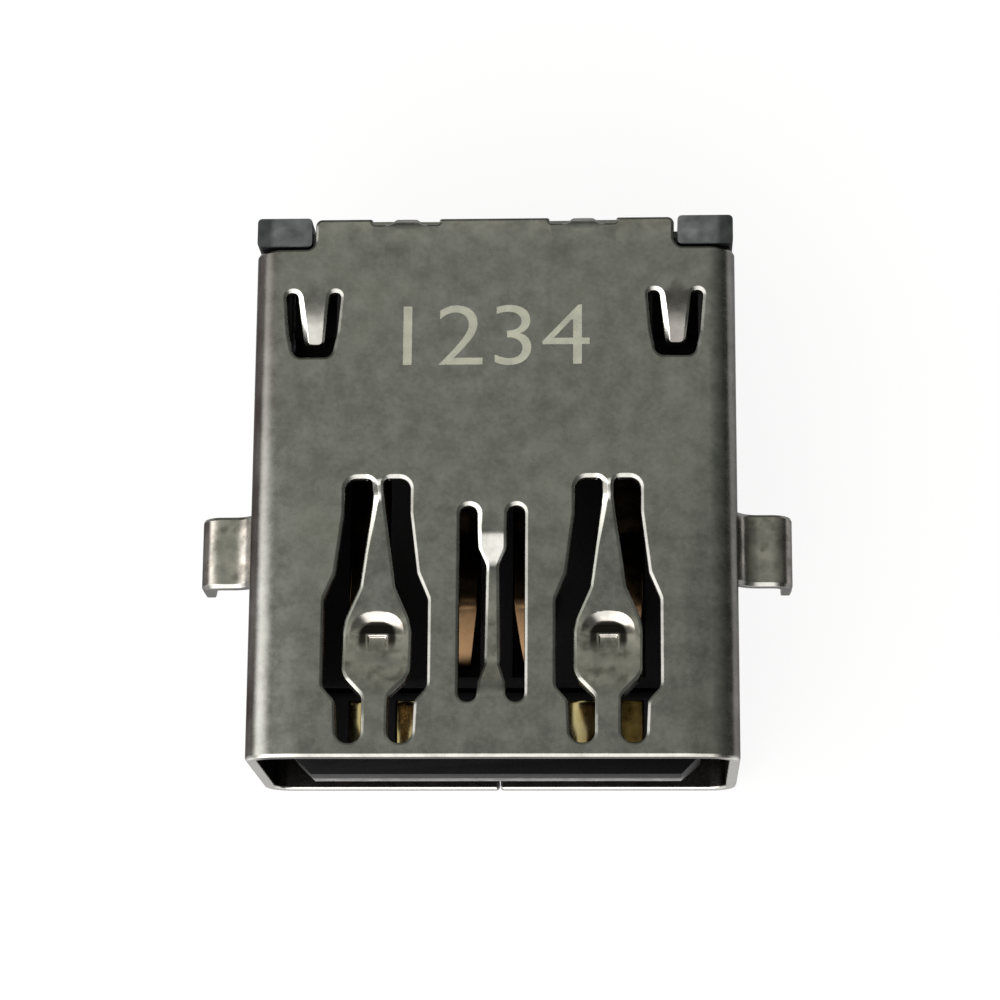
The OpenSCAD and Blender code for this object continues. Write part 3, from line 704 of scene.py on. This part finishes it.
def lattice(s, y):
    """All pairs of the given stations across and along the blank."""
    grid = np.meshgrid(s, y, indexing="ij")
    return np.stack([g.ravel() for g in grid], -1)


def blank_lattice():
    """Points inside the blank: coarse on flats, rows along folds, fine on what is bent or pressed."""
    arc = np.linspace(0, FOLD_R * QUARTER, FOLD_ROWS)
    folds = np.concatenate([FLAT + arc, S_LOW + arc, FLAT - np.linspace(*CROWN_ROWS)])
    folds = np.concatenate([-folds, folds])
    wall = np.linspace(S_WALL, S_LOW, WALL_ROWS)[1:-1]
    low_flat = np.linspace(S_BOTTOM, S_BOTTOM + FLAT + KEY_DEPTH - ROW_ROOM, LOW_ROWS)[1:]
    flats = np.concatenate([np.linspace(-FLAT, FLAT, FLAT_ROWS)[1:-1], -wall, wall, -low_flat, low_flat])
    coarse = lattice(flats, np.arange(COARSE_FROM, FLAP_END, COARSE_STEP))
    fine = [
        coarse[zone_of(*coarse.T) == PLAIN],
        lattice(folds, np.arange(FOLD_FROM, WALL_L, FOLD_STEP)),
        lattice(np.linspace(*CENTRE_ROWS), np.arange(CENTRE_FRONT, CENTRE_REAR, FINE_STEP)),
    ]
    bow = lattice(np.linspace(*BOW_ROWS), np.arange(SPRING_FRONT, SPRING_REAR, BOW_STEP))
    top_bow = bow[np.abs(bow[:, 1] - np.mean(HEAD_RANGE)) > np.ptp(HEAD_RANGE) / 2 + HEAD_ROOM]
    head = lattice(np.arange(*HEAD_ROWS), np.arange(*HEAD_RANGE, HEAD_STEP))
    tab = lattice(np.linspace(*TAB_ROWS), np.arange(TAB_TIP, TAB_ROOT, FINE_STEP))
    strap_y = np.arange(STRAP_START - ROW_ROOM, FLAP_TOP + ROW_ROOM, STRAP_STEP)
    strap = lattice(np.linspace(*STRAP_ROWS), strap_y)
    leg = lattice(S_LEG + np.arange(0.0, LEG_L, LEG_STEP), LEG_Y + np.linspace(*LEG_ROWS))
    for side in (-1, 1):
        low = (S_BOTTOM + FLAT - SPRING_X, 0) + bow * (-1, 1)
        fine += [top_bow + (side * SPRING_X, 0), head + (side * SPRING_X, 0), low * (side, 1)]
        fine += [tab + (side * TAB_X, 0), leg * (side, 1), strap + (side * STRAP_X, 0)]
    return np.concatenate(fine)


def digit_outlines():
    """Outlines of the marked digits on the blank: the border edges of filled digits, fitted to their box."""
    text = bpy.data.curves.new("digits", "FONT")
    text.body = DIGITS
    text.resolution_u = DIGIT_CURVE
    text.offset = DIGIT_THIN
    holder = bpy.data.objects.new("digits", text)
    mesh = holder.to_mesh()
    points = np.empty(len(mesh.vertices) * 3)
    mesh.vertices.foreach_get("co", points)
    edges = np.empty(len(mesh.edges) * 2, int)
    mesh.edges.foreach_get("vertices", edges)
    used = np.empty(len(mesh.loops), int)
    mesh.loops.foreach_get("edge_index", used)
    holder.to_mesh_clear()
    bpy.data.objects.remove(holder)
    bpy.data.curves.remove(text)
    points = points.reshape(-1, 3)[:, :2]
    border = edges.reshape(-1, 2)[np.bincount(used) == 1]
    share = (points - points.min(axis=0)) / np.ptp(points, axis=0)
    return DIGIT_BOX[0] + share * np.ptp(DIGIT_BOX, axis=0), border


def softened(values, size):
    """Values along closed loops of the given sizes, each the mean over three neighbours on both sides."""
    loops = np.split(values, np.cumsum(size)[:-1])
    return np.concatenate([np.mean([np.roll(loop, k) for k in range(-3, 4)], axis=0) for loop in loops])


def edge_profile(bevel, slope, broken):
    """Section of a cut edge for each bevel's length and slope, ring by ring: inset, depth and lean of the
    normal. One arc leads into a straight bevel, one into the cut wall, and one breaks the inner edge."""
    roll = np.linspace(0, 1, ROLL_RINGS)[:, None] * slope
    corner = slope + np.linspace(0, 1, CORNER_RINGS)[:, None] * (QUARTER - slope)
    lean = np.concatenate([roll, corner])
    run = np.diff(lean, axis=0)
    run[:ROLL_RINGS] *= ROLL_R
    run[ROLL_RINGS:] *= CORNER_R
    run[ROLL_RINGS - 1] = bevel
    way = (lean[1:] + lean[:-1]) / 2
    none = np.zeros((1, len(bevel)))
    depth = np.concatenate([none, np.cumsum(run * np.sin(way), axis=0)])
    across = np.concatenate([none, np.cumsum(run * np.cos(way), axis=0)])
    inset = across[-1] - across
    broken = np.minimum(broken, INNER_SHARE * inset[0])
    inner_inset = INNER_ARC * broken
    inner_depth = SHEET - INNER_ARC[::-1] * broken
    inner_lean = QUARTER * np.array([[1], [1.5], [2]]) + none
    pairs = (inset, inner_inset), (depth, inner_depth), (lean, inner_lean)
    return [np.concatenate(pair) for pair in pairs]


def cut_borders():
    """All borders of the blank: points, the way into the sheet at each, each loop's size and the number of
    each point's follower."""
    loops = [turned(loop, k == 0) for k, loop in enumerate([blank_border(), *blank_cuts()])]
    tangents = [unit(np.roll(loop, -1, axis=0) - np.roll(loop, 1, axis=0)) for loop in loops]
    inward = np.concatenate([np.stack([-t[:, 1], t[:, 0]], -1) for t in tangents])
    size = np.array([len(loop) for loop in loops])
    first = np.repeat(np.cumsum(size) - size, size)
    following = first + (np.arange(size.sum()) - first + 1) % np.repeat(size, size)
    return np.concatenate(loops), inward, size, following


def edge_traits(base, inward):
    """What tells places of the cut edges apart: whether at the mouth and on a top spring or tongue, how far
    the sheet lies to the right and behind, and how far up a spring's neck."""
    at_mouth = base[:, 1] < MOUTH_EDGE
    on_spring = np.isin(zone_of(*(base + PROBE * inward).T), (TOP_SPRING, CENTRE, TAB))
    return at_mouth, on_spring, np.clip(inward, 0, 1) ** 2, rise(base[:, 1], NECK_FROM, NECK_RUN)


def edge_shape(base, size, traits):
    """Profile of the cut edges at each place: wider bevels behind a cut, to its right and at the mouth,
    other slopes on the springs, and a wide inner break at the mouth."""
    at_mouth, on_spring, facing, neck = traits
    in_cut = np.arange(len(base)) >= size[0]
    side_bevel = np.where(on_spring, EDGE_BEVEL + (SIDE_BEVEL - EDGE_BEVEL) * neck, LEFT_BEVEL)
    bevel = EDGE_BEVEL + (END_BEVEL - EDGE_BEVEL) * in_cut * facing[:, 1]
    bevel += (side_bevel - EDGE_BEVEL) * in_cut * facing[:, 0]
    bevel += (MOUTH_BEVEL - bevel) * at_mouth * rise(np.abs(base[:, 0]), *MOUTH_BEVEL_END)
    side_slope = HEAD_LEAN + (NECK_LEAN - HEAD_LEAN) * neck
    spring_slope = side_slope + (SPRING_END_LEAN - side_slope) * facing[:, 1]
    slope = np.where(on_spring, spring_slope, EDGE_LEAN)
    broken = EDGE_BREAK + (MOUTH_BREAK - EDGE_BREAK) * at_mouth
    return edge_profile(*(softened(values, size) for values in (bevel, slope, broken)))


def blank_triangles(rim, following):
    """Triangles of the flat blank inside its rims, with the digits' borders as edges: points, triangles,
    which of these are marked, and each rim point's number among the points."""
    digit_points, digit_edges = digit_outlines()
    inner = blank_lattice()
    inner = inner[inside(inner, rim, rim[following])]
    inner = clear_of(inner, np.concatenate([rim, digit_points]), POINT_GAP)
    given = np.concatenate([rim, digit_points, inner])
    edges = np.concatenate([np.stack([np.arange(len(rim)), following], -1), digit_edges + len(rim)])
    coords, _, triangles, origin, _, _ = delaunay_2d_cdt(
        list(map(Vector, given.tolist())), edges.tolist(), [], 0, 1e-7
    )
    flat = np.array([tuple(c) for c in coords])
    triangles = np.array(triangles)
    triangles = triangles[inside(flat[triangles].mean(axis=1), rim, rim[following])]
    marked = inside(flat[triangles].mean(axis=1), *digit_points[digit_edges.T])
    number = np.empty(len(given), int)
    number[np.concatenate(origin).astype(int)] = np.repeat(np.arange(len(origin)), list(map(len, origin)))
    return flat, triangles, marked, number[:len(rim)]


def sheet_layers(flat, total, base, size, traits, rings):
    """Looks of the sheet's points: painted shade in the heads and the tube, painted shade on bends and the
    mouth's edge, worn plating, and painted highlights on the cut edges of springs and of the mouth's walls."""
    at_mouth, on_spring, facing, neck = traits
    s, y = flat.T
    count = len(flat)
    zone = zone_of(s, y)
    hollow_shade, painted_shade, worn, edge_highlight = np.zeros((4, total))
    # Painted shade in the heads' pockets, and over the inner face of the tube except legs and straps
    hollow_shade[:count] = (zone == TOP_SPRING) * head_shade(np.abs(s) - SPRING_X, y)
    hollow_shade[count:2 * count] = INSIDE_SHADE * ~np.isin(zone, (LEG, STRAP))
    # Painted shade on bends and tongues, and a painted dark line along the mouth's cut edge
    painted_shade[:count] = bend_shade(s, y, zone)
    painted_shade[rings[MOUTH_SHADE, at_mouth]] = 1.0
    worn[:count] = worn_plating(np.abs(s), y, zone)
    # Painted highlights on the left-facing cut edges of springs and on the mouth's walls
    highlight_from = np.where(np.abs(base[:, 0]) < CENTRE_HALF, HIGHLIGHT_FROM_CENTRE, HIGHLIGHT_FROM)
    share = HIGHLIGHT_HEAD + (1 - HIGHLIGHT_HEAD) * neck
    side_highlight = on_spring * facing[:, 0] * rise(base[:, 1], highlight_from, HIGHLIGHT_RUN) * share
    edge_highlight[rings[SPRING_HIGHLIGHT]] = softened(side_highlight, size)
    edge_highlight[rings[MOUTH_HIGHLIGHT]] += at_mouth * rise(np.abs(base[:, 0]), FLAT, FOLD_R)
    return {"hollow_shade": hollow_shade, "painted_shade": painted_shade, "worn": worn, "edge_highlight": edge_highlight}


def folded_sheet():
    """The whole shell as one sheet: the flat blank, triangulated inside its cut edges, is carried onto the
    folded form for both faces, and the edge profile run round every border closes it."""
    base, inward, size, following = cut_borders()
    traits = edge_traits(base, inward)
    inset, depth, lean = edge_shape(base, size, traits)
    flat, triangles, marked, number = blank_triangles(base + inward * inset[0][:, None], following)
    face_p, face_n, _, _ = sheet_frame(*flat.T)
    count = len(flat)
    points = [face_p, face_p - SHEET * face_n]
    normals = [face_n, -face_n]
    for ring_inset, ring_depth, ring_lean in zip(inset[1:, :, None], depth[1:, :, None], lean[1:, :, None]):
        p, n, across, back = sheet_frame(*(base + inward * ring_inset).T)
        out = -unit(inward[:, :1] * across + inward[:, 1:] * back)
        points.append(p - ring_depth * n)
        normals.append(np.cos(ring_lean) * n + np.sin(ring_lean) * out)
    new = 2 * count + np.arange((len(lean) - 1) * len(base)).reshape(-1, len(base))
    rings = np.concatenate([[number], new, [count + number]])
    quads = np.stack([rings[:-1], rings[1:], rings[1:, following], rings[:-1, following]], -1).reshape(-1, 4)
    faces = triangles.tolist() + (triangles[:, ::-1] + count).tolist() + quads.tolist()
    points = np.concatenate(points)
    mark = np.zeros(len(faces))
    mark[:len(triangles)] = marked
    layers = {"mark": ("FACE", mark)}
    for name, values in sheet_layers(flat, len(points), base, size, traits, rings).items():
        layers[name] = ("POINT", values)
    return points, faces, np.concatenate(normals), layers


def strip(corners, widths, axis):
    """Bent contact: a rounded rectangle carried along the bent middle line, its width read against the
    running length. Quads join neighbouring rings, and a flat cap closes each end."""
    bent = bent_line(corners, CONTACT_R, CONTACT_STEP, ARC_STEP)
    half = np.interp(bent[1], *np.array(widths).T) / 2
    r = CONTACT_EDGE
    angle = np.linspace(0, 2 * math.pi, CONTACT_SIDES, endpoint=False) + math.pi / CONTACT_SIDES
    x = np.sign(np.cos(angle)) * (half[:, None] - r) + r * np.cos(angle)
    lift = np.sign(np.sin(angle)) * (CONTACT_T / 2 - r) + r * np.sin(angle)
    yz = along(bent[1][:, None], bent, lift[:, None])
    index = np.arange(x.size).reshape(x.shape)
    beside = np.roll(index, -1, axis=1)
    quads = np.stack([index[:-1], beside[:-1], beside[1:], index[1:]], -1).reshape(-1, 4)
    faces = quads.tolist() + [index[0][::-1].tolist(), index[-1].tolist()]
    return np.concatenate([axis + x[..., None], yz], -1).reshape(-1, 3), faces


def add_object(name, data):
    """New object in the scene."""
    obj = bpy.data.objects.new(name, data)
    bpy.context.scene.collection.objects.link(obj)
    return obj


def add_piece(name, points, faces, material, slot, nodes, normals=None, layers=None):
    """Mesh piece in the part's frame that rides on the part and stands for its solids."""
    mesh = bpy.data.meshes.new(name)
    points = (np.asarray(points) + (0, MOUTH_Y, 0)) * MM
    mesh.from_pydata(points.tolist(), [], faces)
    mesh.update()
    mesh.shade_smooth()
    if normals is not None:
        mesh.normals_split_custom_set_from_vertices(normals.tolist())
    for layer, (domain, values) in (layers or {}).items():
        mesh.attributes.new(layer, "FLOAT", domain).data.foreach_set("value", values)
    finish_piece(name, mesh, material, nodes)


def finish_piece(name, mesh, material, nodes):
    """Object for a finished mesh, with its material and the solids it stands for."""
    obj = add_object(name, mesh)
    mesh.materials.clear()
    mesh.materials.append(material)
    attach(obj, "root")
    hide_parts(*nodes)
    return obj


def moulding(name, node, material, edge):
    """Copy of a moulding's solid with its flat faces joined and its edges rounded."""
    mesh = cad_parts[node].data.copy()
    mesh.name = name
    form = bmesh.new()
    form.from_mesh(mesh)
    bmesh.ops.remove_doubles(form, verts=form.verts, dist=MERGE)
    bmesh.ops.dissolve_limit(form, angle_limit=FLAT_TURN, verts=form.verts, edges=form.edges)
    form.to_mesh(mesh)
    form.free()
    mesh.shade_smooth()
    obj = finish_piece(name, mesh, material, [node])
    bevel = obj.modifiers.new("rounded_edges", "BEVEL")
    bevel.width = edge * MM
    bevel.segments = 2
    bevel.limit_method = "ANGLE"
    bevel.angle_limit = SHARP_TURN
    bevel.harden_normals = True


def feed(tree, socket, value):
    """Input socket linked to another socket or set to a plain value."""
    if isinstance(value, bpy.types.NodeSocket):
        tree.links.new(value, socket)
    else:
        socket.default_value = value


def add_node(tree, kind, inputs, output=0, **settings):
    """One output of a new shader node with its settings, and its inputs fed by name or number."""
    node = tree.nodes.new("ShaderNode" + kind)
    for name, value in settings.items():
        setattr(node, name, value)
    for name, value in inputs.items():
        feed(tree, node.inputs[name], value)
    return node.outputs[output]


def calc(tree, operation, first, second):
    """Math node on sockets or plain numbers."""
    return add_node(tree, "Math", {0: first, 1: second}, operation=operation)


def noise(tree, scale, detail):
    """Noise texture of the given scale, fixed to the object."""
    place = add_node(tree, "TexCoord", {}, "Object")
    return add_node(tree, "TexNoise", {"Vector": place, "Scale": scale, "Detail": detail}, "Fac")


def ease(tree, value, given, wanted, kind="SMOOTHSTEP"):
    """Step of a value from one range to another, smooth or of another kind."""
    limits = dict(zip(("From Min", "From Max", "To Min", "To Max"), (*given, *wanted)))
    return add_node(tree, "MapRange", {"Value": value, **limits}, "Result", interpolation_type=kind)


def part_of(tree, vector, axis):
    """One axis of a vector socket."""
    return add_node(tree, "SeparateXYZ", {"Vector": vector}, axis)


def mix(tree, factor, first, second):
    """Two colours mixed by a factor."""
    return add_node(tree, "Mix", {"Factor": factor, "A": first, "B": second}, "Result", data_type="RGBA")


def surface_grain():
    """Shared finish: two colours mixed by soft blotches and fine grain, with roughness and a fine height."""
    group = bpy.data.node_groups.new("surface_grain", "ShaderNodeTree")
    sockets = [("INPUT", "Color", label) for label in ("Light", "Dark")]
    values = "Blotch Scale", "Grain Scale", "Grain Share", "Smoothest", "Roughest"
    sockets += [("INPUT", "Float", label) for label in values]
    sockets += [("OUTPUT", "Color", "Color"), ("OUTPUT", "Float", "Roughness"), ("OUTPUT", "Float", "Height")]
    for way, kind, label in sockets:
        group.interface.new_socket(label, in_out=way, socket_type="NodeSocket" + kind)
    given = group.nodes.new("NodeGroupInput").outputs
    out = group.nodes.new("NodeGroupOutput").inputs
    grain = noise(group, given["Grain Scale"], detail=2.0)
    share = given["Grain Share"]
    rest = calc(group, "SUBTRACT", 1.0, share)
    soft = calc(group, "MULTIPLY", noise(group, given["Blotch Scale"], detail=3.0), rest)
    both = calc(group, "ADD", soft, calc(group, "MULTIPLY", grain, share))
    value = ease(group, both, NOISE_RANGE, (0.0, 1.0), "LINEAR")
    ends = {"To Min": given["Smoothest"], "To Max": given["Roughest"]}
    feed(group, out["Color"], mix(group, value, given["Dark"], given["Light"]))
    feed(group, out["Roughness"], add_node(group, "MapRange", {"Value": value, **ends}, "Result"))
    feed(group, out["Height"], grain)
    return group


def shade(tree, values):
    """Inputs of a material's own shader set or linked."""
    for label, value in values.items():
        feed(tree, tree.nodes["Principled BSDF"].inputs[label], value)


def finish(name, group, values, metallic, bump, specular=0.5, edge=1.0):
    """Material whose colour, roughness and bump come from the shared grain with its own values."""
    material = bpy.data.materials.new(name)
    material.use_nodes = True
    tree = material.node_tree
    grain = add_node(tree, "Group", values, node_tree=group).node.outputs
    bumps = {"Strength": bump, "Distance": BUMP_HEIGHT * MM, "Height": grain["Height"]}
    shade(tree, {
        "Metallic": metallic, "Specular IOR Level": specular, "Specular Tint": (edge, edge, edge, 1),
        "Base Color": grain["Color"], "Roughness": grain["Roughness"],
        "Normal": add_node(tree, "Bump", bumps, "Normal"),
    })
    return material


def paint(tree, factor, colour):
    """The material's colour mixed with another by a factor socket."""
    under = tree.nodes["Principled BSDF"].inputs["Base Color"].links[0].from_socket
    shade(tree, {"Base Color": mix(tree, factor, under, colour)})


def mesh_layer(tree, name):
    """Socket that reads a value layer of the mesh."""
    return add_node(tree, "Attribute", {}, "Fac", attribute_name=name)


def uneven(tree, factor, scale, least):
    """Factor that a noise of the given scale lowers here and there to a least share."""
    share = ease(tree, noise(tree, scale, detail=4.0), NOISE_RANGE, (least, 1.0), "LINEAR")
    return calc(tree, "MULTIPLY", factor, share)


def paint_light_and_shade(tree, colour, stations, limits=(), upward=False):
    """Band of painted light and shade: another colour, uneven, eased in between two stations behind the
    mouth. Each limit eases it out to a share along an axis, between two distances from the middle. It can be
    kept to faces that look up."""
    place = add_node(tree, "TexCoord", {}, "Object")
    factor = ease(tree, part_of(tree, place, "Y"), [(MOUTH_Y + y) * MM for y in stations], (0.0, 1.0))
    for axis, places, left in limits:
        off = calc(tree, "ABSOLUTE", part_of(tree, place, axis), 0.0)
        factor = calc(tree, "MULTIPLY", factor, ease(tree, off, [p * MM for p in places], (1.0, left)))
    if upward:
        height = part_of(tree, add_node(tree, "NewGeometry", {}, "Normal"), "Z")
        factor = calc(tree, "MULTIPLY", factor, ease(tree, height, FACES_UP, (0.0, 1.0)))
    paint(tree, uneven(tree, factor, scale=2800.0, least=0.5), colour)


def patches(tree, colour, scale, share, layer=None):
    """Soft patches of another colour where a coarse noise runs high, all over or on a mesh layer."""
    factor = ease(tree, noise(tree, scale, detail=3.0), PATCH_RANGE, (0.0, share))
    if layer:
        factor = calc(tree, "MULTIPLY", factor, mesh_layer(tree, layer))
    paint(tree, factor, colour)


def tone(red, green, blue):
    """Linear colour of a tone as it shows on a screen, from 0 to 255."""
    value = np.array([red, green, blue]) / 255
    linear = np.where(value <= 0.04045, value / 12.92, ((value + 0.055) / 1.055) ** 2.4)
    return (*linear.tolist(), 1.0)


def steel_finish(grain):
    """Satin plated steel with patches, worn plating, smudges, painted shade in hollows and on bends, painted
    highlights on cut edges, and print.
    """
    steel = finish("satin_steel", grain, {
        "Light": tone(150, 149, 146), "Dark": tone(119, 118, 115), "Blotch Scale": 1800.0,
        "Grain Scale": 7000.0, "Grain Share": 0.35, "Smoothest": 0.23, "Roughest": 0.32,
    }, metallic=1.0, bump=0.008, edge=0.45)
    tree = steel.node_tree
    patches(tree, tone(164, 161, 152), scale=420.0, share=0.25)
    worn = uneven(tree, mesh_layer(tree, "worn"), scale=2400.0, least=0.1)
    paint(tree, worn, tone(182, 175, 168))
    patches(tree, tone(92, 86, 79), scale=1900.0, share=0.6, layer="worn")
    # Painted shade in the heads' pockets and inside the tube
    paint(tree, mesh_layer(tree, "hollow_shade"), tone(52, 47, 44))
    # Painted shade on bends, tongues, the inner fold and the mouth's edge
    painted_shade = uneven(tree, mesh_layer(tree, "painted_shade"), scale=700.0, least=0.6)
    paint(tree, painted_shade, tone(72, 65, 62))
    # Painted highlights on left-facing cut edges of springs and on the mouth's walls
    paint(tree, mesh_layer(tree, "edge_highlight"), tone(226, 224, 218))
    mark = uneven(tree, mesh_layer(tree, "mark"), scale=2600.0, least=0.75)
    paint(tree, mark, tone(158, 157, 144))
    shade(tree, {"Metallic": calc(tree, "SUBTRACT", 1.0, mark)})
    return steel


def plastic_finish(grain):
    """Fine black plastic, with a painted pale highlight on the tongue's front lip and a painted grey sheen on
    top of the corner blocks.
    """
    plastic = finish("black_plastic", grain, {
        "Light": tone(15, 15, 16), "Dark": tone(7, 7, 8), "Blotch Scale": 900.0, "Grain Scale": 14000.0,
        "Grain Share": 0.6, "Smoothest": 0.45, "Roughest": 0.6,
    }, metallic=0.0, bump=0.2, specular=0.12)
    tree = plastic.node_tree
    # Painted highlight on the tongue's front lip, and painted sheen on the tops of the corner blocks
    paint_light_and_shade(tree, tone(132, 131, 132), stations=(0.12, 0.02), limits=[("Z", (1.95, 2.25), 0.0)])
    paint_light_and_shade(tree, tone(92, 94, 96), stations=(14.1, 14.18), limits=[("X", (6.0, 6.2), 0.4)], upward=True)
    return plastic


def contact_finish(name, grain, light, dark, rough):
    """Metal of the contacts in two tones, with a range of roughness."""
    return finish(name, grain, {
        "Light": light, "Dark": dark, "Blotch Scale": 1500.0, "Grain Scale": 6000.0, "Grain Share": 0.3,
        "Smoothest": rough[0], "Roughest": rough[1],
    }, metallic=1.0, bump=0.01)


def studio_lamp():
    """Square soft lamp that faces the part; its power gives the radiance over its area."""
    data = bpy.data.lights.new("front_left_softbox", "AREA")
    data.shape = "SQUARE"
    data.size = LAMP_SIZE * MM
    data.energy = LAMP_RADIANCE * math.pi * (LAMP_SIZE * MM) ** 2
    lamp = add_object("front_left_softbox", data)
    lamp.location = Vector(LAMP_PLACE) * MM
    direction = Vector(LAMP_AIM) - Vector(LAMP_PLACE)
    lamp.rotation_euler = direction.to_track_quat("-Z", "Y").to_euler()
    lamp.visible_camera = False


def studio_world():
    """Soft dome, brighter overhead and dimmer in its right front half, with one wide bright wall to the
    front and left that fades out towards the floor."""
    world = bpy.data.worlds.new("studio")
    bpy.context.scene.world = world
    world.use_nodes = True
    tree = world.node_tree
    direction = add_node(tree, "TexCoord", {}, "Generated")
    x, y, height = (part_of(tree, direction, axis) for axis in "XYZ")
    dome = ease(tree, height, (0.0, 1.0), (DOME_LOW, DOME_HIGH))
    across = calc(tree, "SUBTRACT", calc(tree, "MULTIPLY", x, DOME_SLANT), y)
    dome = calc(tree, "MULTIPLY", dome, ease(tree, across, DOME_SPLIT, (1.0, DOME_FRONT)))
    facing = add_node(tree, "VectorMath", {0: direction, 1: WALL_WAY}, "Value", operation="DOT_PRODUCT")
    wall = ease(tree, facing, WALL_SIDES, (0.0, WALL_LIGHT))
    wall = calc(tree, "MULTIPLY", wall, ease(tree, height, WALL_FOOT, (0.0, 1.0)))
    dome = add_node(tree, "VectorMath", {0: DOME_TINT, "Scale": dome}, operation="SCALE")
    wall = add_node(tree, "VectorMath", {0: WALL_TINT, "Scale": wall}, operation="SCALE")
    background = tree.nodes["Background"].inputs
    feed(tree, background["Color"], add_node(tree, "VectorMath", {0: dome, 1: wall}, operation="ADD"))
    background["Strength"].default_value = 1.0


def studio_floor():
    """Pale floor just under the part, clear from below. The camera and reflections see it mostly white, so
    that the part's shadow stays faint."""
    material = bpy.data.materials.new("floor_white")
    material.use_nodes = True
    tree = material.node_tree
    path = tree.nodes.new("ShaderNodeLightPath").outputs
    seen = calc(tree, "MAXIMUM", path["Is Camera Ray"], path["Is Glossy Ray"])
    seen = calc(tree, "MAXIMUM", seen, path["Is Transmission Ray"])
    pale = calc(tree, "ADD", calc(tree, "MULTIPLY", seen, FLOOR_SEEN), FLOOR_PALE)
    shade(tree, {"Base Color": pale, "Roughness": 0.9, "Specular IOR Level": 0.0})
    matt = tree.nodes["Principled BSDF"].outputs[0]
    white = add_node(tree, "Emission", {"Color": (1, 1, 1, 1), "Strength": 1.0})
    lit = add_node(tree, "MixShader", {0: calc(tree, "MULTIPLY", seen, FLOOR_WHITE), 1: matt, 2: white})
    below = add_node(tree, "NewGeometry", {}, "Backfacing")
    clear = add_node(tree, "BsdfTransparent", {})
    surface = add_node(tree, "MixShader", {0: below, 1: lit, 2: clear})
    feed(tree, tree.nodes["Material Output"].inputs["Surface"], surface)
    mesh = bpy.data.meshes.new("floor")
    corners = np.array([(-1, -1, 0), (1, -1, 0), (1, 1, 0), (-1, 1, 0)]) * FLOOR_HALF - (0, 0, FLOOR_DROP)
    mesh.from_pydata((corners * MM).tolist(), [], [(0, 1, 2, 3)])
    mesh.materials.append(material)
    floor = add_object("floor", mesh)


def studio_camera():
    """Camera above the mouth side, a little to the right, with the given sensor and lens."""
    data = bpy.data.cameras.new("camera")
    data.sensor_width = SENSOR
    data.lens = SENSOR * LENS
    data.clip_start, data.clip_end = np.array(CLIP) * MM
    camera = add_object("camera", data)
    x, y, z = CAMERA_PLACE
    camera.location = Vector((x, y + MOUTH_Y, z)) * MM
    camera.rotation_euler = CAMERA_TURN
    bpy.context.scene.camera = camera


bpy.context.scene.view_settings.view_transform = "Standard"
grain = surface_grain()
steel = steel_finish(grain)
plastic = plastic_finish(grain)
gold = contact_finish("gold_flash", grain, tone(250, 228, 178), tone(232, 202, 142), rough=(0.08, 0.16))
# Painted shade: a darker, rougher copy of the gold, used for blade_5
shaded_gold = contact_finish("shaded_gold", grain, tone(168, 142, 84), tone(112, 90, 46), rough=(0.25, 0.4))
bronze = contact_finish("bronze_strip", grain, tone(112, 89, 66), tone(88, 68, 48), rough=(0.25, 0.4))
# Near-black rear of the sprung contacts inside the shell: unplated alloy, darkened further as painted shade
rear = ("Y", (MOUTH_Y + 10.0, MOUTH_Y + 10.4), 0.0)
paint_light_and_shade(bronze.node_tree, tone(24, 19, 15), stations=(5.2, 6.0), limits=[rear])

points, faces, normals, layers = folded_sheet()
add_piece("shell_sheet", points, faces, steel, "shell_steel", ["shell"], normals, layers)
for node, axis in SPRUNG_X.items():
    form = strip(SPRUNG_PATH, SPRUNG_WIDTH, axis)
    add_piece(node + "_strip", *form, bronze, "gold_contact", [node])
# Blade_5 takes the shaded copy of the gold, a painted shade
for node, axis in BLADE_X.items():
    form = strip(BLADE_PATH, BLADE_WIDTH, axis)
    add_piece(node + "_strip", *form, shaded_gold if node == "blade_5" else gold, "gold_contact", [node])
moulding("housing_moulding", "housing", plastic, MOULD_EDGE)
moulding("carrier_moulding", "fast_carrier", plastic, MOULD_EDGE)
moulding("spacer_moulding", "tail_spacer", plastic, SPACER_EDGE)

studio_world()
studio_floor()
studio_camera()
studio_lamp()
